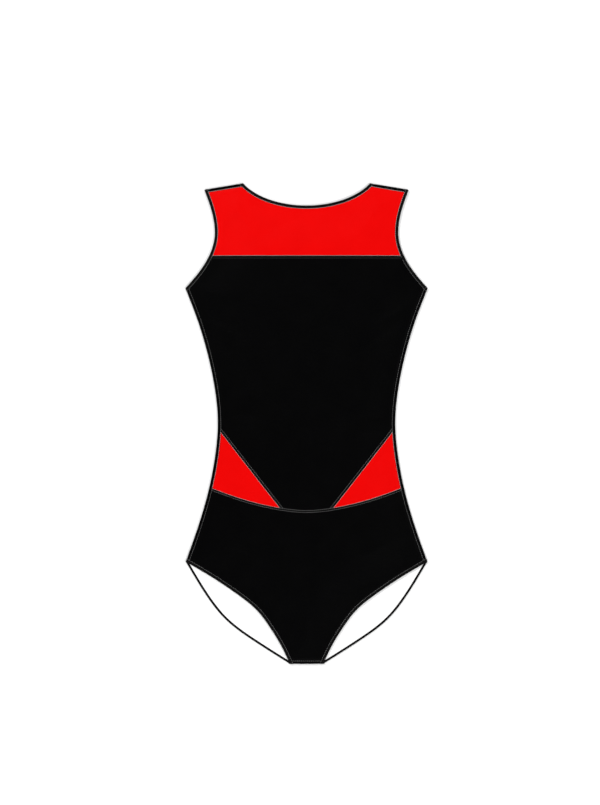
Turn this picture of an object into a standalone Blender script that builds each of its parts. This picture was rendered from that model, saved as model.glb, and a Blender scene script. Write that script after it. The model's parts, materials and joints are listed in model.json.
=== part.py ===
"""A sleeveless leotard, laid flat with its front up.

Metres, +Z up. X runs across the garment, with +X on the wearer's left, and +Y points to the neck. The
origin is at the middle of the outline, on the surface that the garment lies on.

The garment is a closed tube pressed flat. The back is the lower layer, cut in one piece. At the shoulders,
sides and crotch its cloth turns over the fold and ends a little way onto the front, where the front panels
meet it edge to edge. Neck, armholes and leg holes are bound with elastic bands, each a closed ring with a
stretch on the front, a stretch on the back and a turn over the fold between them.

The cut is worked out on one half, x >= 0. An outline is a loop of named sides, and inset() moves each side
inwards by its own amount, which gives every seam gap, band and fold line from the same curves.
"""

import math
from typing import NamedTuple

import bmesh
import bpy
import numpy as np


class Spot(NamedTuple):
    """A point of the cut: how far it is from the centre line, and how far below the neck point."""

    half: float
    drop: float


LENGTH = 0.6615  # neck point to crotch

# Cloth and bands
WALL = 0.0010
LAYER_GAP = 0.00075  # between back and front, beside the folds
SEAM_GAP = 0.0003
BAND_WIDTH = 0.0045
BAND_THICKNESS = 0.0013
BAND_CORNER = 0.12  # share of a band's width that its rounded edge takes
BAND_EDGE = 0.5  # share of a band's thickness that is left upright at its edge
FOLD_RADIUS = WALL + LAYER_GAP / 2
FOLD_STEPS = 4
RISE = 0.0024  # how far the front stands higher in the middle than beside the edges
RISE_REACH = 0.055

# Neck, an arc of an ellipse on front and back
NECK_HALF = 0.0875
NECK_ELLIPSE_HALF = 0.0990
FRONT_NECK_DEPTH = 0.0307
BACK_NECK_DEPTH = 0.0750
BACK_ARMHOLE_INSET = 0.0015

# Seams of the front
YOKE_SEAM_DROP = 0.1018
HIP_SEAM_DROP = 0.4516  # at the centre
HIP_SEAM_BOW = 0.977  # the seam rises by this times the half width to the power below, in metres
HIP_SEAM_POWER = 1.7
INSET_TOP_DROP = 0.3348  # where the slanting seam starts at the side
INSET_TIP_HALF = 0.0332  # where it ends on the hip seam
CROTCH_HALF = 0.0228

# The outer edges, from the neck point down
SHOULDER_TIP = Spot(half=0.1408, drop=0.0088)
UNDERARM = Spot(half=0.1668, drop=0.1446)
HIP = Spot(half=0.1663, drop=0.5207)
CROTCH = Spot(half=CROTCH_HALF, drop=LENGTH)

ARMHOLE = [
    SHOULDER_TIP,
    Spot(half=0.1325, drop=0.0317),
    Spot(half=0.1273, drop=0.0537),
    Spot(half=0.1262, drop=0.0675),
    Spot(half=0.1289, drop=0.0864),
    Spot(half=0.1356, drop=0.1030),
    Spot(half=0.1501, drop=0.1252),
    UNDERARM,
]

SIDE = [
    UNDERARM,
    Spot(half=0.1499, drop=0.1886),
    Spot(half=0.1340, drop=0.2437),
    Spot(half=0.1241, drop=0.2987),
    Spot(half=0.1222, drop=0.3330),
    Spot(half=0.1248, drop=0.3676),
    Spot(half=0.1349, drop=0.4227),
    Spot(half=0.1510, drop=0.4778),
    HIP,
]

FRONT_LEG = [
    HIP,
    Spot(half=0.1315, drop=0.5412),
    Spot(half=0.0985, drop=0.5632),
    Spot(half=0.0707, drop=0.5852),
    Spot(half=0.0530, drop=0.6072),
    Spot(half=0.0389, drop=0.6292),
    CROTCH,
]

BACK_LEG = [
    HIP,
    Spot(half=0.1509, drop=0.5467),
    Spot(half=0.1291, drop=0.5797),
    Spot(half=0.1038, drop=0.6072),
    Spot(half=0.0736, drop=0.6292),
    CROTCH,
]

# Cells of each stretch
NECK_CELLS = 10
SHOULDER_CELLS = 3
ARMHOLE_TOP_CELLS = 9
ARMHOLE_LOW_CELLS = 5
SIDE_TOP_CELLS = 13
SIDE_INSET_CELLS = 6
SIDE_HIP_CELLS = 7
LEG_CELLS = 16
SEAM_CELLS = 10
SLANT_CELLS = 8

# How finely the smooth lines are read before they are spaced out, and how close two directions are one
FINE_STEPS = 40
SAME_DIRECTION = 1e-4
WELD_DISTANCE = 0.00001
SHARP_ANGLE = math.radians(40)

BLACK_CLOTH = {"color": (0.006, 0.006, 0.007, 1.0), "roughness": 0.62}
RED_CLOTH = {"color": (0.87, 0.004, 0.004, 1.0), "roughness": 0.55}
BLACK_BINDING = {"color": (0.009, 0.009, 0.010, 1.0), "roughness": 0.75}


# Curves of the cut, as arrays of (x, y) points


def placed(spots):
    """Points (x, y) of spots given as (half, drop)."""
    half, drop = np.array(spots, float).T
    return np.stack([half, LENGTH / 2 - drop], axis=1)


def respaced(points, cells):
    """The same line with its points spaced evenly, cells of them and one more."""
    steps = np.linalg.norm(np.diff(points, axis=0), axis=1)
    along = np.concatenate([[0.0], np.cumsum(steps)])
    at = np.linspace(0.0, along[-1], cells + 1)
    return np.stack([np.interp(at, along, points[:, k]) for k in range(2)], axis=1)


def spline_half(spots, drops):
    """Half width at each drop, on the natural cubic spline through the spots."""
    half, knots = (np.array(column, float) for column in zip(*spots))
    span = np.diff(knots)
    slope = np.diff(half) / span
    count = len(knots)
    system = np.identity(count)
    right = np.zeros(count)
    for i in range(1, count - 1):
        system[i, i - 1 : i + 2] = span[i - 1], 2 * (span[i - 1] + span[i]), span[i]
        right[i] = 6 * (slope[i] - slope[i - 1])
    bend = np.linalg.solve(system, right)
    i = np.clip(np.searchsorted(knots, drops, side="right") - 1, 0, count - 2)
    s = drops - knots[i]
    start = slope[i] - span[i] * (2 * bend[i] + bend[i + 1]) / 6
    return half[i] + s * (start + s * (bend[i] / 2 + s * (bend[i + 1] - bend[i]) / (6 * span[i])))


def stretch(spots, cells, first=None, last=None):
    """Part of the smooth line through the spots, between two drops, with even spacing."""
    first = spots[0].drop if first is None else first
    last = spots[-1].drop if last is None else last
    drops = np.linspace(first, last, FINE_STEPS * cells + 1)
    return respaced(placed(np.stack([spline_half(spots, drops), drops], axis=1)), cells)


def neckline(depth):
    """The neck edge from the centre to the neck point, an arc of an ellipse."""
    reach = math.asin(NECK_HALF / NECK_ELLIPSE_HALF)
    height = depth / (1 - math.cos(reach))
    turn = np.linspace(0.0, reach, FINE_STEPS * NECK_CELLS + 1)
    half = NECK_ELLIPSE_HALF * np.sin(turn)
    drop = depth - height * (1 - np.cos(turn))
    return respaced(placed(np.stack([half, drop], axis=1)), NECK_CELLS)


def hip_seam(first_half, last_half, cells):
    """The bowed hip seam between two half widths."""
    half = np.linspace(first_half, last_half, cells + 1)
    return placed(np.stack([half, HIP_SEAM_DROP - HIP_SEAM_BOW * half**HIP_SEAM_POWER], axis=1))


def drop_of_hip_seam_at_side():
    """Where the hip seam meets the side edge."""
    drops = np.linspace(INSET_TOP_DROP, HIP.drop, FINE_STEPS**2)
    apart = drops - (HIP_SEAM_DROP - HIP_SEAM_BOW * spline_half(SIDE, drops) ** HIP_SEAM_POWER)
    return float(drops[np.argmin(np.abs(apart))])


# Outlines, as dictionaries of named sides that make one clockwise loop, seen from above


def inset(sides, distances):
    """The outline with each side moved inwards by its own distance, and corners where the sides meet."""
    loop = np.concatenate([points[:-1] for points in sides.values()])
    moved_by = np.concatenate([np.full(len(sides[name]) - 1, distances.get(name, 0.0)) for name in sides])
    ahead = np.roll(loop, -1, axis=0) - loop
    ahead /= np.linalg.norm(ahead, axis=1)[:, None]
    inwards = np.stack([ahead[:, 1], -ahead[:, 0]], axis=1)
    result = np.empty_like(loop)
    for i, point in enumerate(loop):
        normals = np.array([inwards[i - 1], inwards[i]])
        wanted = np.array([moved_by[i - 1], moved_by[i]])
        if abs(np.linalg.det(normals)) > SAME_DIRECTION:
            result[i] = point + np.linalg.solve(normals, wanted)
        else:
            result[i] = point + normals.mean(axis=0) * wanted.mean()
    result = np.concatenate([result, result[:1]])
    made, start = {}, 0
    for name, points in sides.items():
        made[name] = result[start : start + len(points)]
        start += len(points) - 1
    return made


def joined(*lines):
    """Lines that follow on from each other as one line."""
    return np.concatenate([lines[0], *[line[1:] for line in lines[1:]]])


def closed_outline(**sides):
    """A half outline with the centre line added that closes it, from its last point up to its first."""
    lines = list(sides.values())
    return {**sides, "centre": np.array([lines[-1][-1], lines[0][0]])}


HIP_SEAM_SIDE_DROP = drop_of_hip_seam_at_side()
ARMHOLE_TOP = stretch(ARMHOLE, ARMHOLE_TOP_CELLS, last=YOKE_SEAM_DROP)
ARMHOLE_LOW = stretch(ARMHOLE, ARMHOLE_LOW_CELLS, first=YOKE_SEAM_DROP)
SIDE_TOP = stretch(SIDE, SIDE_TOP_CELLS, last=INSET_TOP_DROP)
SIDE_INSET = stretch(SIDE, SIDE_INSET_CELLS, first=INSET_TOP_DROP, last=HIP_SEAM_SIDE_DROP)
SIDE_HIP = stretch(SIDE, SIDE_HIP_CELLS, first=HIP_SEAM_SIDE_DROP)


def garment_outline(neck_depth, leg_spots):
    """The whole outline of the front or the back."""
    return closed_outline(
        neck=neckline(neck_depth),
        shoulder=placed([(NECK_HALF, 0.0), SHOULDER_TIP]),
        armhole=joined(ARMHOLE_TOP, ARMHOLE_LOW),
        side=joined(SIDE_TOP, SIDE_INSET, SIDE_HIP),
        leg=stretch(leg_spots, LEG_CELLS),
        crotch=placed([CROTCH, (0.0, LENGTH)]),
    )


FRONT = garment_outline(FRONT_NECK_DEPTH, FRONT_LEG)
BACK = inset(garment_outline(BACK_NECK_DEPTH, BACK_LEG), {"armhole": BACK_ARMHOLE_INSET})
YOKE_SEAM = np.array([(0.0, ARMHOLE_TOP[-1, 1]), ARMHOLE_TOP[-1]])
SLANT_SEAM = np.array([SIDE_TOP[-1], hip_seam(INSET_TIP_HALF, 0.0, 1)[0]])

BOUND = ("neck", "armhole", "armhole_top", "armhole_low", "leg")
FOLDED = ("shoulder", "side", "side_top", "side_inset", "side_hip", "crotch")
SEAMS = ("yoke_seam", "slant_seam", "hip_seam")


def margins(bound, folded):
    """How far to move bound sides and folded sides inwards, with half a gap at the seams."""
    return {
        **dict.fromkeys(BOUND, bound),
        **dict.fromkeys(FOLDED, folded),
        **dict.fromkeys(SEAMS, SEAM_GAP / 2),
    }


PANEL_MARGINS = margins(BAND_WIDTH + SEAM_GAP, BAND_WIDTH + SEAM_GAP)


# Height of the front layer


def rise(points):
    """How far the front stands above its level beside the edges, at points (x, y)."""
    edge = joined(*[FRONT[name] for name in FRONT if name != "centre"])
    start, step = edge[:-1], np.diff(edge, axis=0)
    row = points.reshape(-1, 1, 2)
    share = np.clip(((row - start) * step).sum(axis=2) / (step**2).sum(axis=1), 0.0, 1.0)
    away = np.linalg.norm(row - start - share[..., None] * step, axis=2).min(axis=1)
    t = np.clip((away - BAND_WIDTH) / RISE_REACH, 0.0, 1.0)
    return (RISE * t * t * (3 - 2 * t)).reshape(points.shape[:-1])


def coons(top, outer, bottom, inner):
    """Points of a patch between four lines: top and bottom run outwards, outer and inner run down."""
    u = np.linspace(0.0, 1.0, len(top))[None, :, None]
    v = np.linspace(0.0, 1.0, len(outer))[:, None, None]
    between = top[None] * (1 - v) + bottom[None] * v
    across = inner[:, None] * (1 - u) + outer[:, None] * u
    top_corners = top[0] * (1 - u) + top[-1] * u
    bottom_corners = bottom[0] * (1 - u) + bottom[-1] * u
    return between + across - top_corners * (1 - v) - bottom_corners * v


def centre_rows(outer, top, bottom):
    """Points on the centre line, one for each row, in step with the rows of the outer edge."""
    share = (outer[:, 1] - outer[0, 1]) / (outer[-1, 1] - outer[0, 1])
    return np.stack([np.zeros(len(outer)), top + (bottom - top) * share], axis=1)


# Objects


def material(name, look):
    """A Principled material of that colour and roughness."""
    made = bpy.data.materials.new(name)
    made.use_nodes = True
    shader = made.node_tree.nodes["Principled BSDF"]
    shader.inputs["Base Color"].default_value = look["color"]
    shader.inputs["Roughness"].default_value = look["roughness"]
    shader.inputs["Metallic"].default_value = 0.0
    return made


def add_object(name, built, cloth, mirrored=False, thickness=None):
    """A named object from a bmesh, with its material, and with Mirror and Solidify where asked for."""
    mesh = bpy.data.meshes.new(name)
    bmesh.ops.remove_doubles(built, verts=built.verts, dist=WELD_DISTANCE)
    built.to_mesh(mesh)
    built.free()
    mesh.materials.append(cloth)
    mesh.shade_smooth()
    mesh.set_sharp_from_angle(angle=SHARP_ANGLE)
    made = bpy.data.objects.new(name, mesh)
    bpy.data.collections["leotard"].objects.link(made)
    if mirrored:
        mirror = made.modifiers.new("other_half", "MIRROR")
        mirror.use_axis = (True, False, False)
        mirror.merge_threshold = WELD_DISTANCE
    if thickness:
        wall = made.modifiers.new("wall", "SOLIDIFY")
        wall.thickness = thickness
        wall.offset = -1.0
        wall.use_even_offset = True
        wall.use_quality_normals = True


def front_panel(name, points, cloth, side=1, mirrored=True):
    """A panel of the front layer, its outer face raised by rise(); side -1 puts it on the wearer's right."""
    built = bmesh.new()
    rows, columns = points.shape[:2]
    bmesh.ops.create_grid(built, x_segments=columns - 1, y_segments=rows - 1, size=0.5)
    heights = 2 * FOLD_RADIUS + rise(points)
    for vertex in built.verts:
        column = round((vertex.co.x + 0.5) * (columns - 1))
        row = round((0.5 - vertex.co.y) * (rows - 1))
        x, y = points[row, column]
        vertex.co = (side * x, y, heights[row, column])
    if side < 0:
        bmesh.ops.reverse_faces(built, faces=built.faces)
    add_object(name, built, cloth, mirrored, WALL)


def outline_vertices(built, sides):
    """Vertices on the ground along each side of an outline, which share their corners."""
    made = {}
    for name, points in sides.items():
        made[name] = [built.verts.new((*point, 0.0)) for point in points[:-1]]
    firsts = [line[0] for line in made.values()]
    for line, after in zip(made.values(), firsts[1:] + firsts[:1]):
        line.append(after)
    return made


def strip(built, line, places):
    """A row of faces from a line of vertices to new ones at the places given, and the new line."""
    new = [built.verts.new(place) for place in places]
    for i in range(len(line) - 1):
        built.faces.new((line[i], new[i], new[i + 1], line[i + 1]))
    return new


def outwards(line):
    """Unit normals of a clockwise line, away from the garment."""
    ahead = np.gradient(line, axis=0)
    ahead /= np.linalg.norm(ahead, axis=1)[:, None]
    return np.stack([-ahead[:, 1], ahead[:, 0]], axis=1)


def turn_over(built, line, above, edge):
    """The cloth beside a fold: it turns up from a line of vertices to the line above, and ends at edge."""
    below = np.array([vertex.co[:2] for vertex in line])
    away = outwards(below)
    for step in range(1, FOLD_STEPS + 1):
        angle = math.pi * step / FOLD_STEPS
        share = step / FOLD_STEPS
        flat = below * (1 - share) + above * share + away * FOLD_RADIUS * math.sin(angle)
        height = FOLD_RADIUS * (1 - math.cos(angle))
        line = strip(built, line, [(*point, height) for point in flat])
    strip(built, line, [(*point, 2 * FOLD_RADIUS) for point in edge])


def band_section(edge, inner, middle, normal):
    """Eight points round a band, with rounded edges, from its outer edge, inner edge, height and normal."""
    start, width = np.array([*edge, middle]), np.array([*(inner - edge), 0.0])
    face = BAND_THICKNESS / 2
    low = BAND_EDGE * face
    upper = [(0.0, low), (BAND_CORNER, face), (1 - BAND_CORNER, face), (1.0, low)]
    lower = [(across, -out) for across, out in reversed(upper)]
    return [start + width * across + normal * out for across, out in upper + lower]


def band_sections(front_edge, front_inner, back_edge, back_inner, turns):
    """Sections of a band that runs along the front, over a fold, and back along the back.

    turns has the outward direction of the fold at each end of the front stretch, or None at the centre.
    """
    front_middle = 2 * FOLD_RADIUS - WALL / 2
    back_middle = BAND_THICKNESS / 2
    centre, radius = (front_middle + back_middle) / 2, (front_middle - back_middle) / 2
    up = np.array([0.0, 0.0, 1.0])

    def over(at, away):
        """Sections over the fold at one end, from front to back."""
        found = []
        for step in range(1, FOLD_STEPS):
            angle, share = math.pi * step / FOLD_STEPS, step / FOLD_STEPS
            shift = away * radius * math.sin(angle)
            edge = front_edge[at] * (1 - share) + back_edge[at] * share + shift
            inner = front_inner[at] * (1 - share) + back_inner[at] * share + shift
            normal = up * math.cos(angle) + np.array([*away, 0.0]) * math.sin(angle)
            found.append(band_section(edge, inner, centre + radius * math.cos(angle), normal))
        return found

    front = [band_section(*pair, front_middle, up) for pair in zip(front_edge, front_inner)]
    back = [band_section(*pair, back_middle, -up) for pair in zip(back_edge, back_inner)]
    start = [] if turns[0] is None else over(0, turns[0])
    return front + over(-1, turns[1]) + back[::-1] + start[::-1]


def loft(sections, closed):
    """A bmesh through a row of sections with as many points each."""
    built = bmesh.new()
    rings = [[built.verts.new(point) for point in section] for section in sections]
    pairs = list(zip(rings, rings[1:])) + ([(rings[-1], rings[0])] if closed else [])
    for one, other in pairs:
        for k in range(len(one)):
            after = (k + 1) % len(one)
            built.faces.new((one[k], one[after], other[after], other[k]))
    return built


# The garment's pieces


def yoke_points():
    """The red yoke: neck, shoulder and upper armhole down to the straight yoke seam."""
    sides = inset(
        closed_outline(
            neck=FRONT["neck"],
            shoulder=FRONT["shoulder"],
            armhole_top=ARMHOLE_TOP,
            yoke_seam=YOKE_SEAM[::-1],
        ),
        PANEL_MARGINS,
    )
    top = joined(sides["neck"], respaced(sides["shoulder"], SHOULDER_CELLS))
    outer = sides["armhole_top"]
    bottom = respaced(sides["yoke_seam"][::-1], len(top) - 1)
    return coons(top, outer, bottom, centre_rows(outer, top[0, 1], bottom[0, 1]))


def body_points():
    """The black body: from the yoke seam past the waist, and between the slanting seams to the hip seam."""
    sides = inset(
        closed_outline(
            yoke_seam=YOKE_SEAM,
            armhole_low=ARMHOLE_LOW,
            side_top=SIDE_TOP,
            slant_seam=SLANT_SEAM,
            hip_seam=hip_seam(INSET_TIP_HALF, 0.0, SEAM_CELLS),
        ),
        PANEL_MARGINS,
    )
    outer = joined(sides["armhole_low"], sides["side_top"], respaced(sides["slant_seam"], SLANT_CELLS))
    top = respaced(sides["yoke_seam"], SEAM_CELLS)
    bottom = sides["hip_seam"][::-1]
    return coons(top, outer, bottom, centre_rows(outer, top[0, 1], bottom[0, 1]))


def side_inset_points():
    """A red side inset: a triangle between side, slanting seam and hip seam, its point at the waist."""
    sides = inset(
        {
            "side_inset": SIDE_INSET,
            "hip_seam": hip_seam(SIDE_INSET[-1, 0], INSET_TIP_HALF, SEAM_CELLS),
            "slant_seam": SLANT_SEAM[::-1],
        },
        PANEL_MARGINS,
    )
    inner = respaced(sides["slant_seam"][::-1], SIDE_INSET_CELLS)
    bottom = sides["hip_seam"][::-1]
    point = np.repeat(inner[:1], len(bottom), axis=0)
    return coons(point, sides["side_inset"], bottom, inner)


def brief_points():
    """The black brief: from the hip seam down to the crotch, cut away for the legs."""
    sides = inset(
        closed_outline(
            hip_seam=hip_seam(0.0, SIDE_HIP[0, 0], SEAM_CELLS),
            side_hip=SIDE_HIP,
            leg=FRONT["leg"],
            crotch=FRONT["crotch"],
        ),
        PANEL_MARGINS,
    )
    outer = joined(sides["side_hip"], sides["leg"])
    top = sides["hip_seam"]
    bottom = respaced(sides["crotch"][::-1], SEAM_CELLS)
    return coons(top, outer, bottom, centre_rows(outer, top[0, 1], bottom[0, 1]))


def add_back(cloth):
    """The back: one flat panel whose cloth turns over onto the front at shoulder, side and crotch."""
    below = inset(BACK, margins(BAND_WIDTH + SEAM_GAP, FOLD_RADIUS))
    above = inset(FRONT, margins(BAND_WIDTH + SEAM_GAP, FOLD_RADIUS))
    edge = inset(FRONT, margins(BAND_WIDTH + SEAM_GAP, BAND_WIDTH))
    built = bmesh.new()
    lines = outline_vertices(built, below)
    built.faces.new([vertex for line in lines.values() for vertex in line[:-1]])
    for name in ("shoulder", "side", "crotch"):
        turn_over(built, lines[name], above[name], edge[name])
    add_object("back_panel", built, cloth, mirrored=True, thickness=WALL)


def fold_direction(name, at):
    """Which way the fold of a side of the outline faces, at its first (0) or last (-1) point."""
    return outwards(FRONT[name])[at]


def add_band(name, edge_side, turns, cloth, side=1, mirrored=False):
    """A binding round one hole of the garment."""
    lines = []
    for outline in (FRONT, BACK):
        for width in (0.0, BAND_WIDTH):
            lines.append(inset(outline, margins(width, FOLD_RADIUS))[edge_side])
    sections = band_sections(*lines, turns)
    if side < 0:
        sections = [[point * (-1, 1, 1) for point in section] for section in sections]
    built = loft(sections, closed=not mirrored)
    if side < 0:
        bmesh.ops.reverse_faces(built, faces=built.faces)
    add_object(name, built, cloth, mirrored)


def clear_scene():
    """Removes the objects that a new file starts with, and makes the garment's own collection."""
    for thing in list(bpy.data.objects):
        bpy.data.objects.remove(thing)
    bpy.context.scene.collection.children.link(bpy.data.collections.new("leotard"))


def build():
    """Makes every piece of the leotard."""
    clear_scene()
    black = material("black_cloth", BLACK_CLOTH)
    red = material("red_cloth", RED_CLOTH)
    band = material("black_binding", BLACK_BINDING)
    add_back(black)
    front_panel("front_yoke", yoke_points(), red)
    front_panel("front_body", body_points(), black)
    front_panel("front_brief", brief_points(), black)
    add_band("neck_binding", "neck", (None, fold_direction("shoulder", 0)), band, mirrored=True)
    for hand, side in (("left", 1), ("right", -1)):
        front_panel(f"side_inset_{hand}", side_inset_points(), red, side, mirrored=False)
        arm_turns = (fold_direction("shoulder", -1), fold_direction("side", 0))
        add_band(f"armhole_binding_{hand}", "armhole", arm_turns, band, side)
        leg_turns = (fold_direction("side", -1), fold_direction("crotch", 0))
        add_band(f"leg_binding_{hand}", "leg", leg_turns, band, side)


build()
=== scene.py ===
"""Looks of a sleeveless leotard that lies flat with its front up.

Metres, +Z up, in the frame of the solids: +X on the wearer's left, +Y towards the neck, and the surface
that the garment lies on at z = 0.

The garment is a tube pressed flat. Its cloth is a thin stretch knit, dyed outside and white inside. The back
is one panel, which turns over the folds at shoulders, sides and crotch and laps a little way over the front
panels. Folded elastic bindings hold the edges of both layers at neck, armholes and legs. Flat seams join the
front panels, each under a cover of black looper thread. Needle thread, most of it grey, runs along every
seam and edge.

Outlines are loops of named sides, worked out on the half with x >= 0 and mirrored.
"""

from __future__ import annotations

import json
import logging
import math
from abc import ABC, abstractmethod
from collections.abc import Callable, Sequence
from dataclasses import dataclass, field, replace
from enum import Enum
from typing import NamedTuple

import bmesh
import bpy
import numpy as np
from mathutils import Vector
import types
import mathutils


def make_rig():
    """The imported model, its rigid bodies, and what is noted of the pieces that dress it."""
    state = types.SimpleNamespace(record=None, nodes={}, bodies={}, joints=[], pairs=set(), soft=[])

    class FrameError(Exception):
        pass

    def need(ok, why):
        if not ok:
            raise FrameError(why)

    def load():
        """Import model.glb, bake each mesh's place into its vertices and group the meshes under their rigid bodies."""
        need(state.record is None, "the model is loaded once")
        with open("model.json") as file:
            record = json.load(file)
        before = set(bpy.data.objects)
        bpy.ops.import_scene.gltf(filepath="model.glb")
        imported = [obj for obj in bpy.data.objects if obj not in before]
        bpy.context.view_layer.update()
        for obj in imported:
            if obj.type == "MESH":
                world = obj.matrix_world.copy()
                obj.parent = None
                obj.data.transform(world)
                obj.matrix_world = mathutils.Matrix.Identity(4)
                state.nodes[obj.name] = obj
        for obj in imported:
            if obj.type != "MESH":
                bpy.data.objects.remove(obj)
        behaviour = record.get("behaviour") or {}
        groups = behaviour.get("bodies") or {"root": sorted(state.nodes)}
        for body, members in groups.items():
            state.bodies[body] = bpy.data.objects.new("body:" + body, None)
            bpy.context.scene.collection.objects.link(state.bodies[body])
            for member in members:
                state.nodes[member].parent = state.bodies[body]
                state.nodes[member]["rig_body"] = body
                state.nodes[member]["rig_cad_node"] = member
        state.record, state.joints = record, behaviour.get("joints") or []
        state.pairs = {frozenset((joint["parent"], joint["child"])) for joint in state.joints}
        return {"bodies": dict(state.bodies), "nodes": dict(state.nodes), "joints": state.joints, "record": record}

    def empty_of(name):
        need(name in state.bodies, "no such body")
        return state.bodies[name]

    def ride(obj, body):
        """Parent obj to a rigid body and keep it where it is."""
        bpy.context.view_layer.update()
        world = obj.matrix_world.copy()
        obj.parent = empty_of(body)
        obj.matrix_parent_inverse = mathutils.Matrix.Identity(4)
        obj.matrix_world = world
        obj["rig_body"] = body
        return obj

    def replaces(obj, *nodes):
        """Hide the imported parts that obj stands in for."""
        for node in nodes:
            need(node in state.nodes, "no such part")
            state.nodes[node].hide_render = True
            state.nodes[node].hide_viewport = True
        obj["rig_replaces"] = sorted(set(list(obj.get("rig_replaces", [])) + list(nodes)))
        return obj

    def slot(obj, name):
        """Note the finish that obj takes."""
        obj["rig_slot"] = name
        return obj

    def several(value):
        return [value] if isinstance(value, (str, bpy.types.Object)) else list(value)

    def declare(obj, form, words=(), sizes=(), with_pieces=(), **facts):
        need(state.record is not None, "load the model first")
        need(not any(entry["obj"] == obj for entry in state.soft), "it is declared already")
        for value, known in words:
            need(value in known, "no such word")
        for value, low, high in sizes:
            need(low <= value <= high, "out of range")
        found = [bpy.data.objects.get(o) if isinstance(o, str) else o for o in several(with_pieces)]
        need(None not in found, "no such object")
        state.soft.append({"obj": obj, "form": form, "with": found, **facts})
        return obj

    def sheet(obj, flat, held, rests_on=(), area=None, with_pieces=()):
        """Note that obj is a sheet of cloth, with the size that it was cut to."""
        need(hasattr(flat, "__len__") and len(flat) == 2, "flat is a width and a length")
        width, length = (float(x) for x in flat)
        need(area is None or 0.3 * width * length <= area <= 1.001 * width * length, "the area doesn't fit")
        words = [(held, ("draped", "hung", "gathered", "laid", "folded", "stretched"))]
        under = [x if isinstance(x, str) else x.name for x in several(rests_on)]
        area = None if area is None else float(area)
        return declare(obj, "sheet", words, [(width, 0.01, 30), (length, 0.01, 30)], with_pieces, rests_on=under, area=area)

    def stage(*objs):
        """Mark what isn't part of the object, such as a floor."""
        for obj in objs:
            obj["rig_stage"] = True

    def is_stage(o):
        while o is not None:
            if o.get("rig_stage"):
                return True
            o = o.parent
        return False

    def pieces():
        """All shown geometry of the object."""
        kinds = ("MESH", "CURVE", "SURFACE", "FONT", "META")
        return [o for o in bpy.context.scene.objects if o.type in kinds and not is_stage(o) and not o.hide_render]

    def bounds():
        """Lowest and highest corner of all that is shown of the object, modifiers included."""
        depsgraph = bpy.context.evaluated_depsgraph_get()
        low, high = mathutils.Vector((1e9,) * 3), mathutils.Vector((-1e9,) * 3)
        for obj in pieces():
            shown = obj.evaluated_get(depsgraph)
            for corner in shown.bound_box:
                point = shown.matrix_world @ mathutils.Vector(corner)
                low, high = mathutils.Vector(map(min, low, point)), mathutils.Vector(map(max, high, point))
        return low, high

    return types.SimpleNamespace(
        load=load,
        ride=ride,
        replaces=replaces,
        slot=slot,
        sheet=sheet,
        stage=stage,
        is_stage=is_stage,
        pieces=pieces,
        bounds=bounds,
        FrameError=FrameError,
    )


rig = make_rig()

LOG = logging.getLogger("leotard")

Line = np.ndarray
Sides = dict[str, np.ndarray]

SIZE_FILE = "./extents.json"
BODY = "root"
UNDERLAY = "back_panel_cloth"
STRIP_MAP = "strip"
WELD_DISTANCE = 1e-6
SHARP_ANGLE = math.radians(50)

# How far an outline's side runs on past its corner, and the cross product under which lines are parallel
CORNER_REACH = 0.02
LEAST_TURN = 1e-15

# How finely lines are read before they are spaced out, and how many points are measured at a time
SPLINE_CELLS = 800
NECK_CELLS = 400
SEAM_CELLS = 200
SEARCH_CELLS = 2000
COVER_CELLS = 4000
CHUNK = 4000


class Spot(NamedTuple):
    """A point of the cut: how far it is from the centre line, and how far below the neck point."""

    half: float
    drop: float


class Crease(NamedTuple):
    """A soft ridge, or with a negative height a trough: its middle, direction in degrees, size and bow."""

    x: float
    y: float
    turn: float
    reach: float
    width: float
    height: float
    bow: float


class Wave(NamedTuple):
    """A wave along an edge: its share of the whole height, its length and its phase."""

    share: float
    length: float
    phase: float


class Hand(Enum):
    """The wearer's side, with the sign of its x."""

    LEFT = 1
    RIGHT = -1


class Layer(Enum):
    """The two layers of the garment as it lies."""

    FRONT = "front"
    BACK = "back"


class Thread(Enum):
    """The needle threads, numbered as the stitching's materials are."""

    PALE = 0
    DARK = 1
    BLACK = 2


# Lines of the cut, as rows of (x, y)


def arc_lengths(line: Line) -> np.ndarray:
    """How far along the line each of its points is."""
    return np.concatenate([[0.0], np.cumsum(np.linalg.norm(np.diff(line, axis=0), axis=1))])


def respaced(line: Line, cells: int) -> Line:
    """The same line with its points spaced evenly.

    Args:
        line: The points, as rows.
        cells: How many cells the new line has.

    Returns:
        A line of cells + 1 points.
    """
    along = arc_lengths(line)
    return read_at(np.linspace(0.0, along[-1], cells + 1), along, line)


def cells_of(line: Line, spacing: float) -> int:
    """How many cells of about that size the line takes."""
    return max(2, round(arc_lengths(line)[-1] / spacing))


def evenly(line: Line, spacing: float) -> Line:
    """The line with its points spaced evenly, at about that spacing."""
    return respaced(line, cells_of(line, spacing))


def read_at(places: np.ndarray, along: np.ndarray, values: np.ndarray) -> np.ndarray:
    """The columns of the values, given along a line, read at other places along it."""
    return np.stack([np.interp(places, along, column) for column in values.T], axis=-1)


def joined(*lines: Line) -> Line:
    """Lines that follow on from each other as one line."""
    return np.concatenate([lines[0], *[line[1:] for line in lines[1:]]])


def inward_normals(line: Line) -> Line:
    """Unit normals of a clockwise line.

    Args:
        line: The line.

    Returns:
        A normal for each of its points, towards the inside of its loop.
    """
    ahead = np.gradient(line, axis=0)
    ahead /= np.linalg.norm(ahead, axis=1)[:, None]
    return np.stack([ahead[:, 1], -ahead[:, 0]], axis=1)


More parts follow.
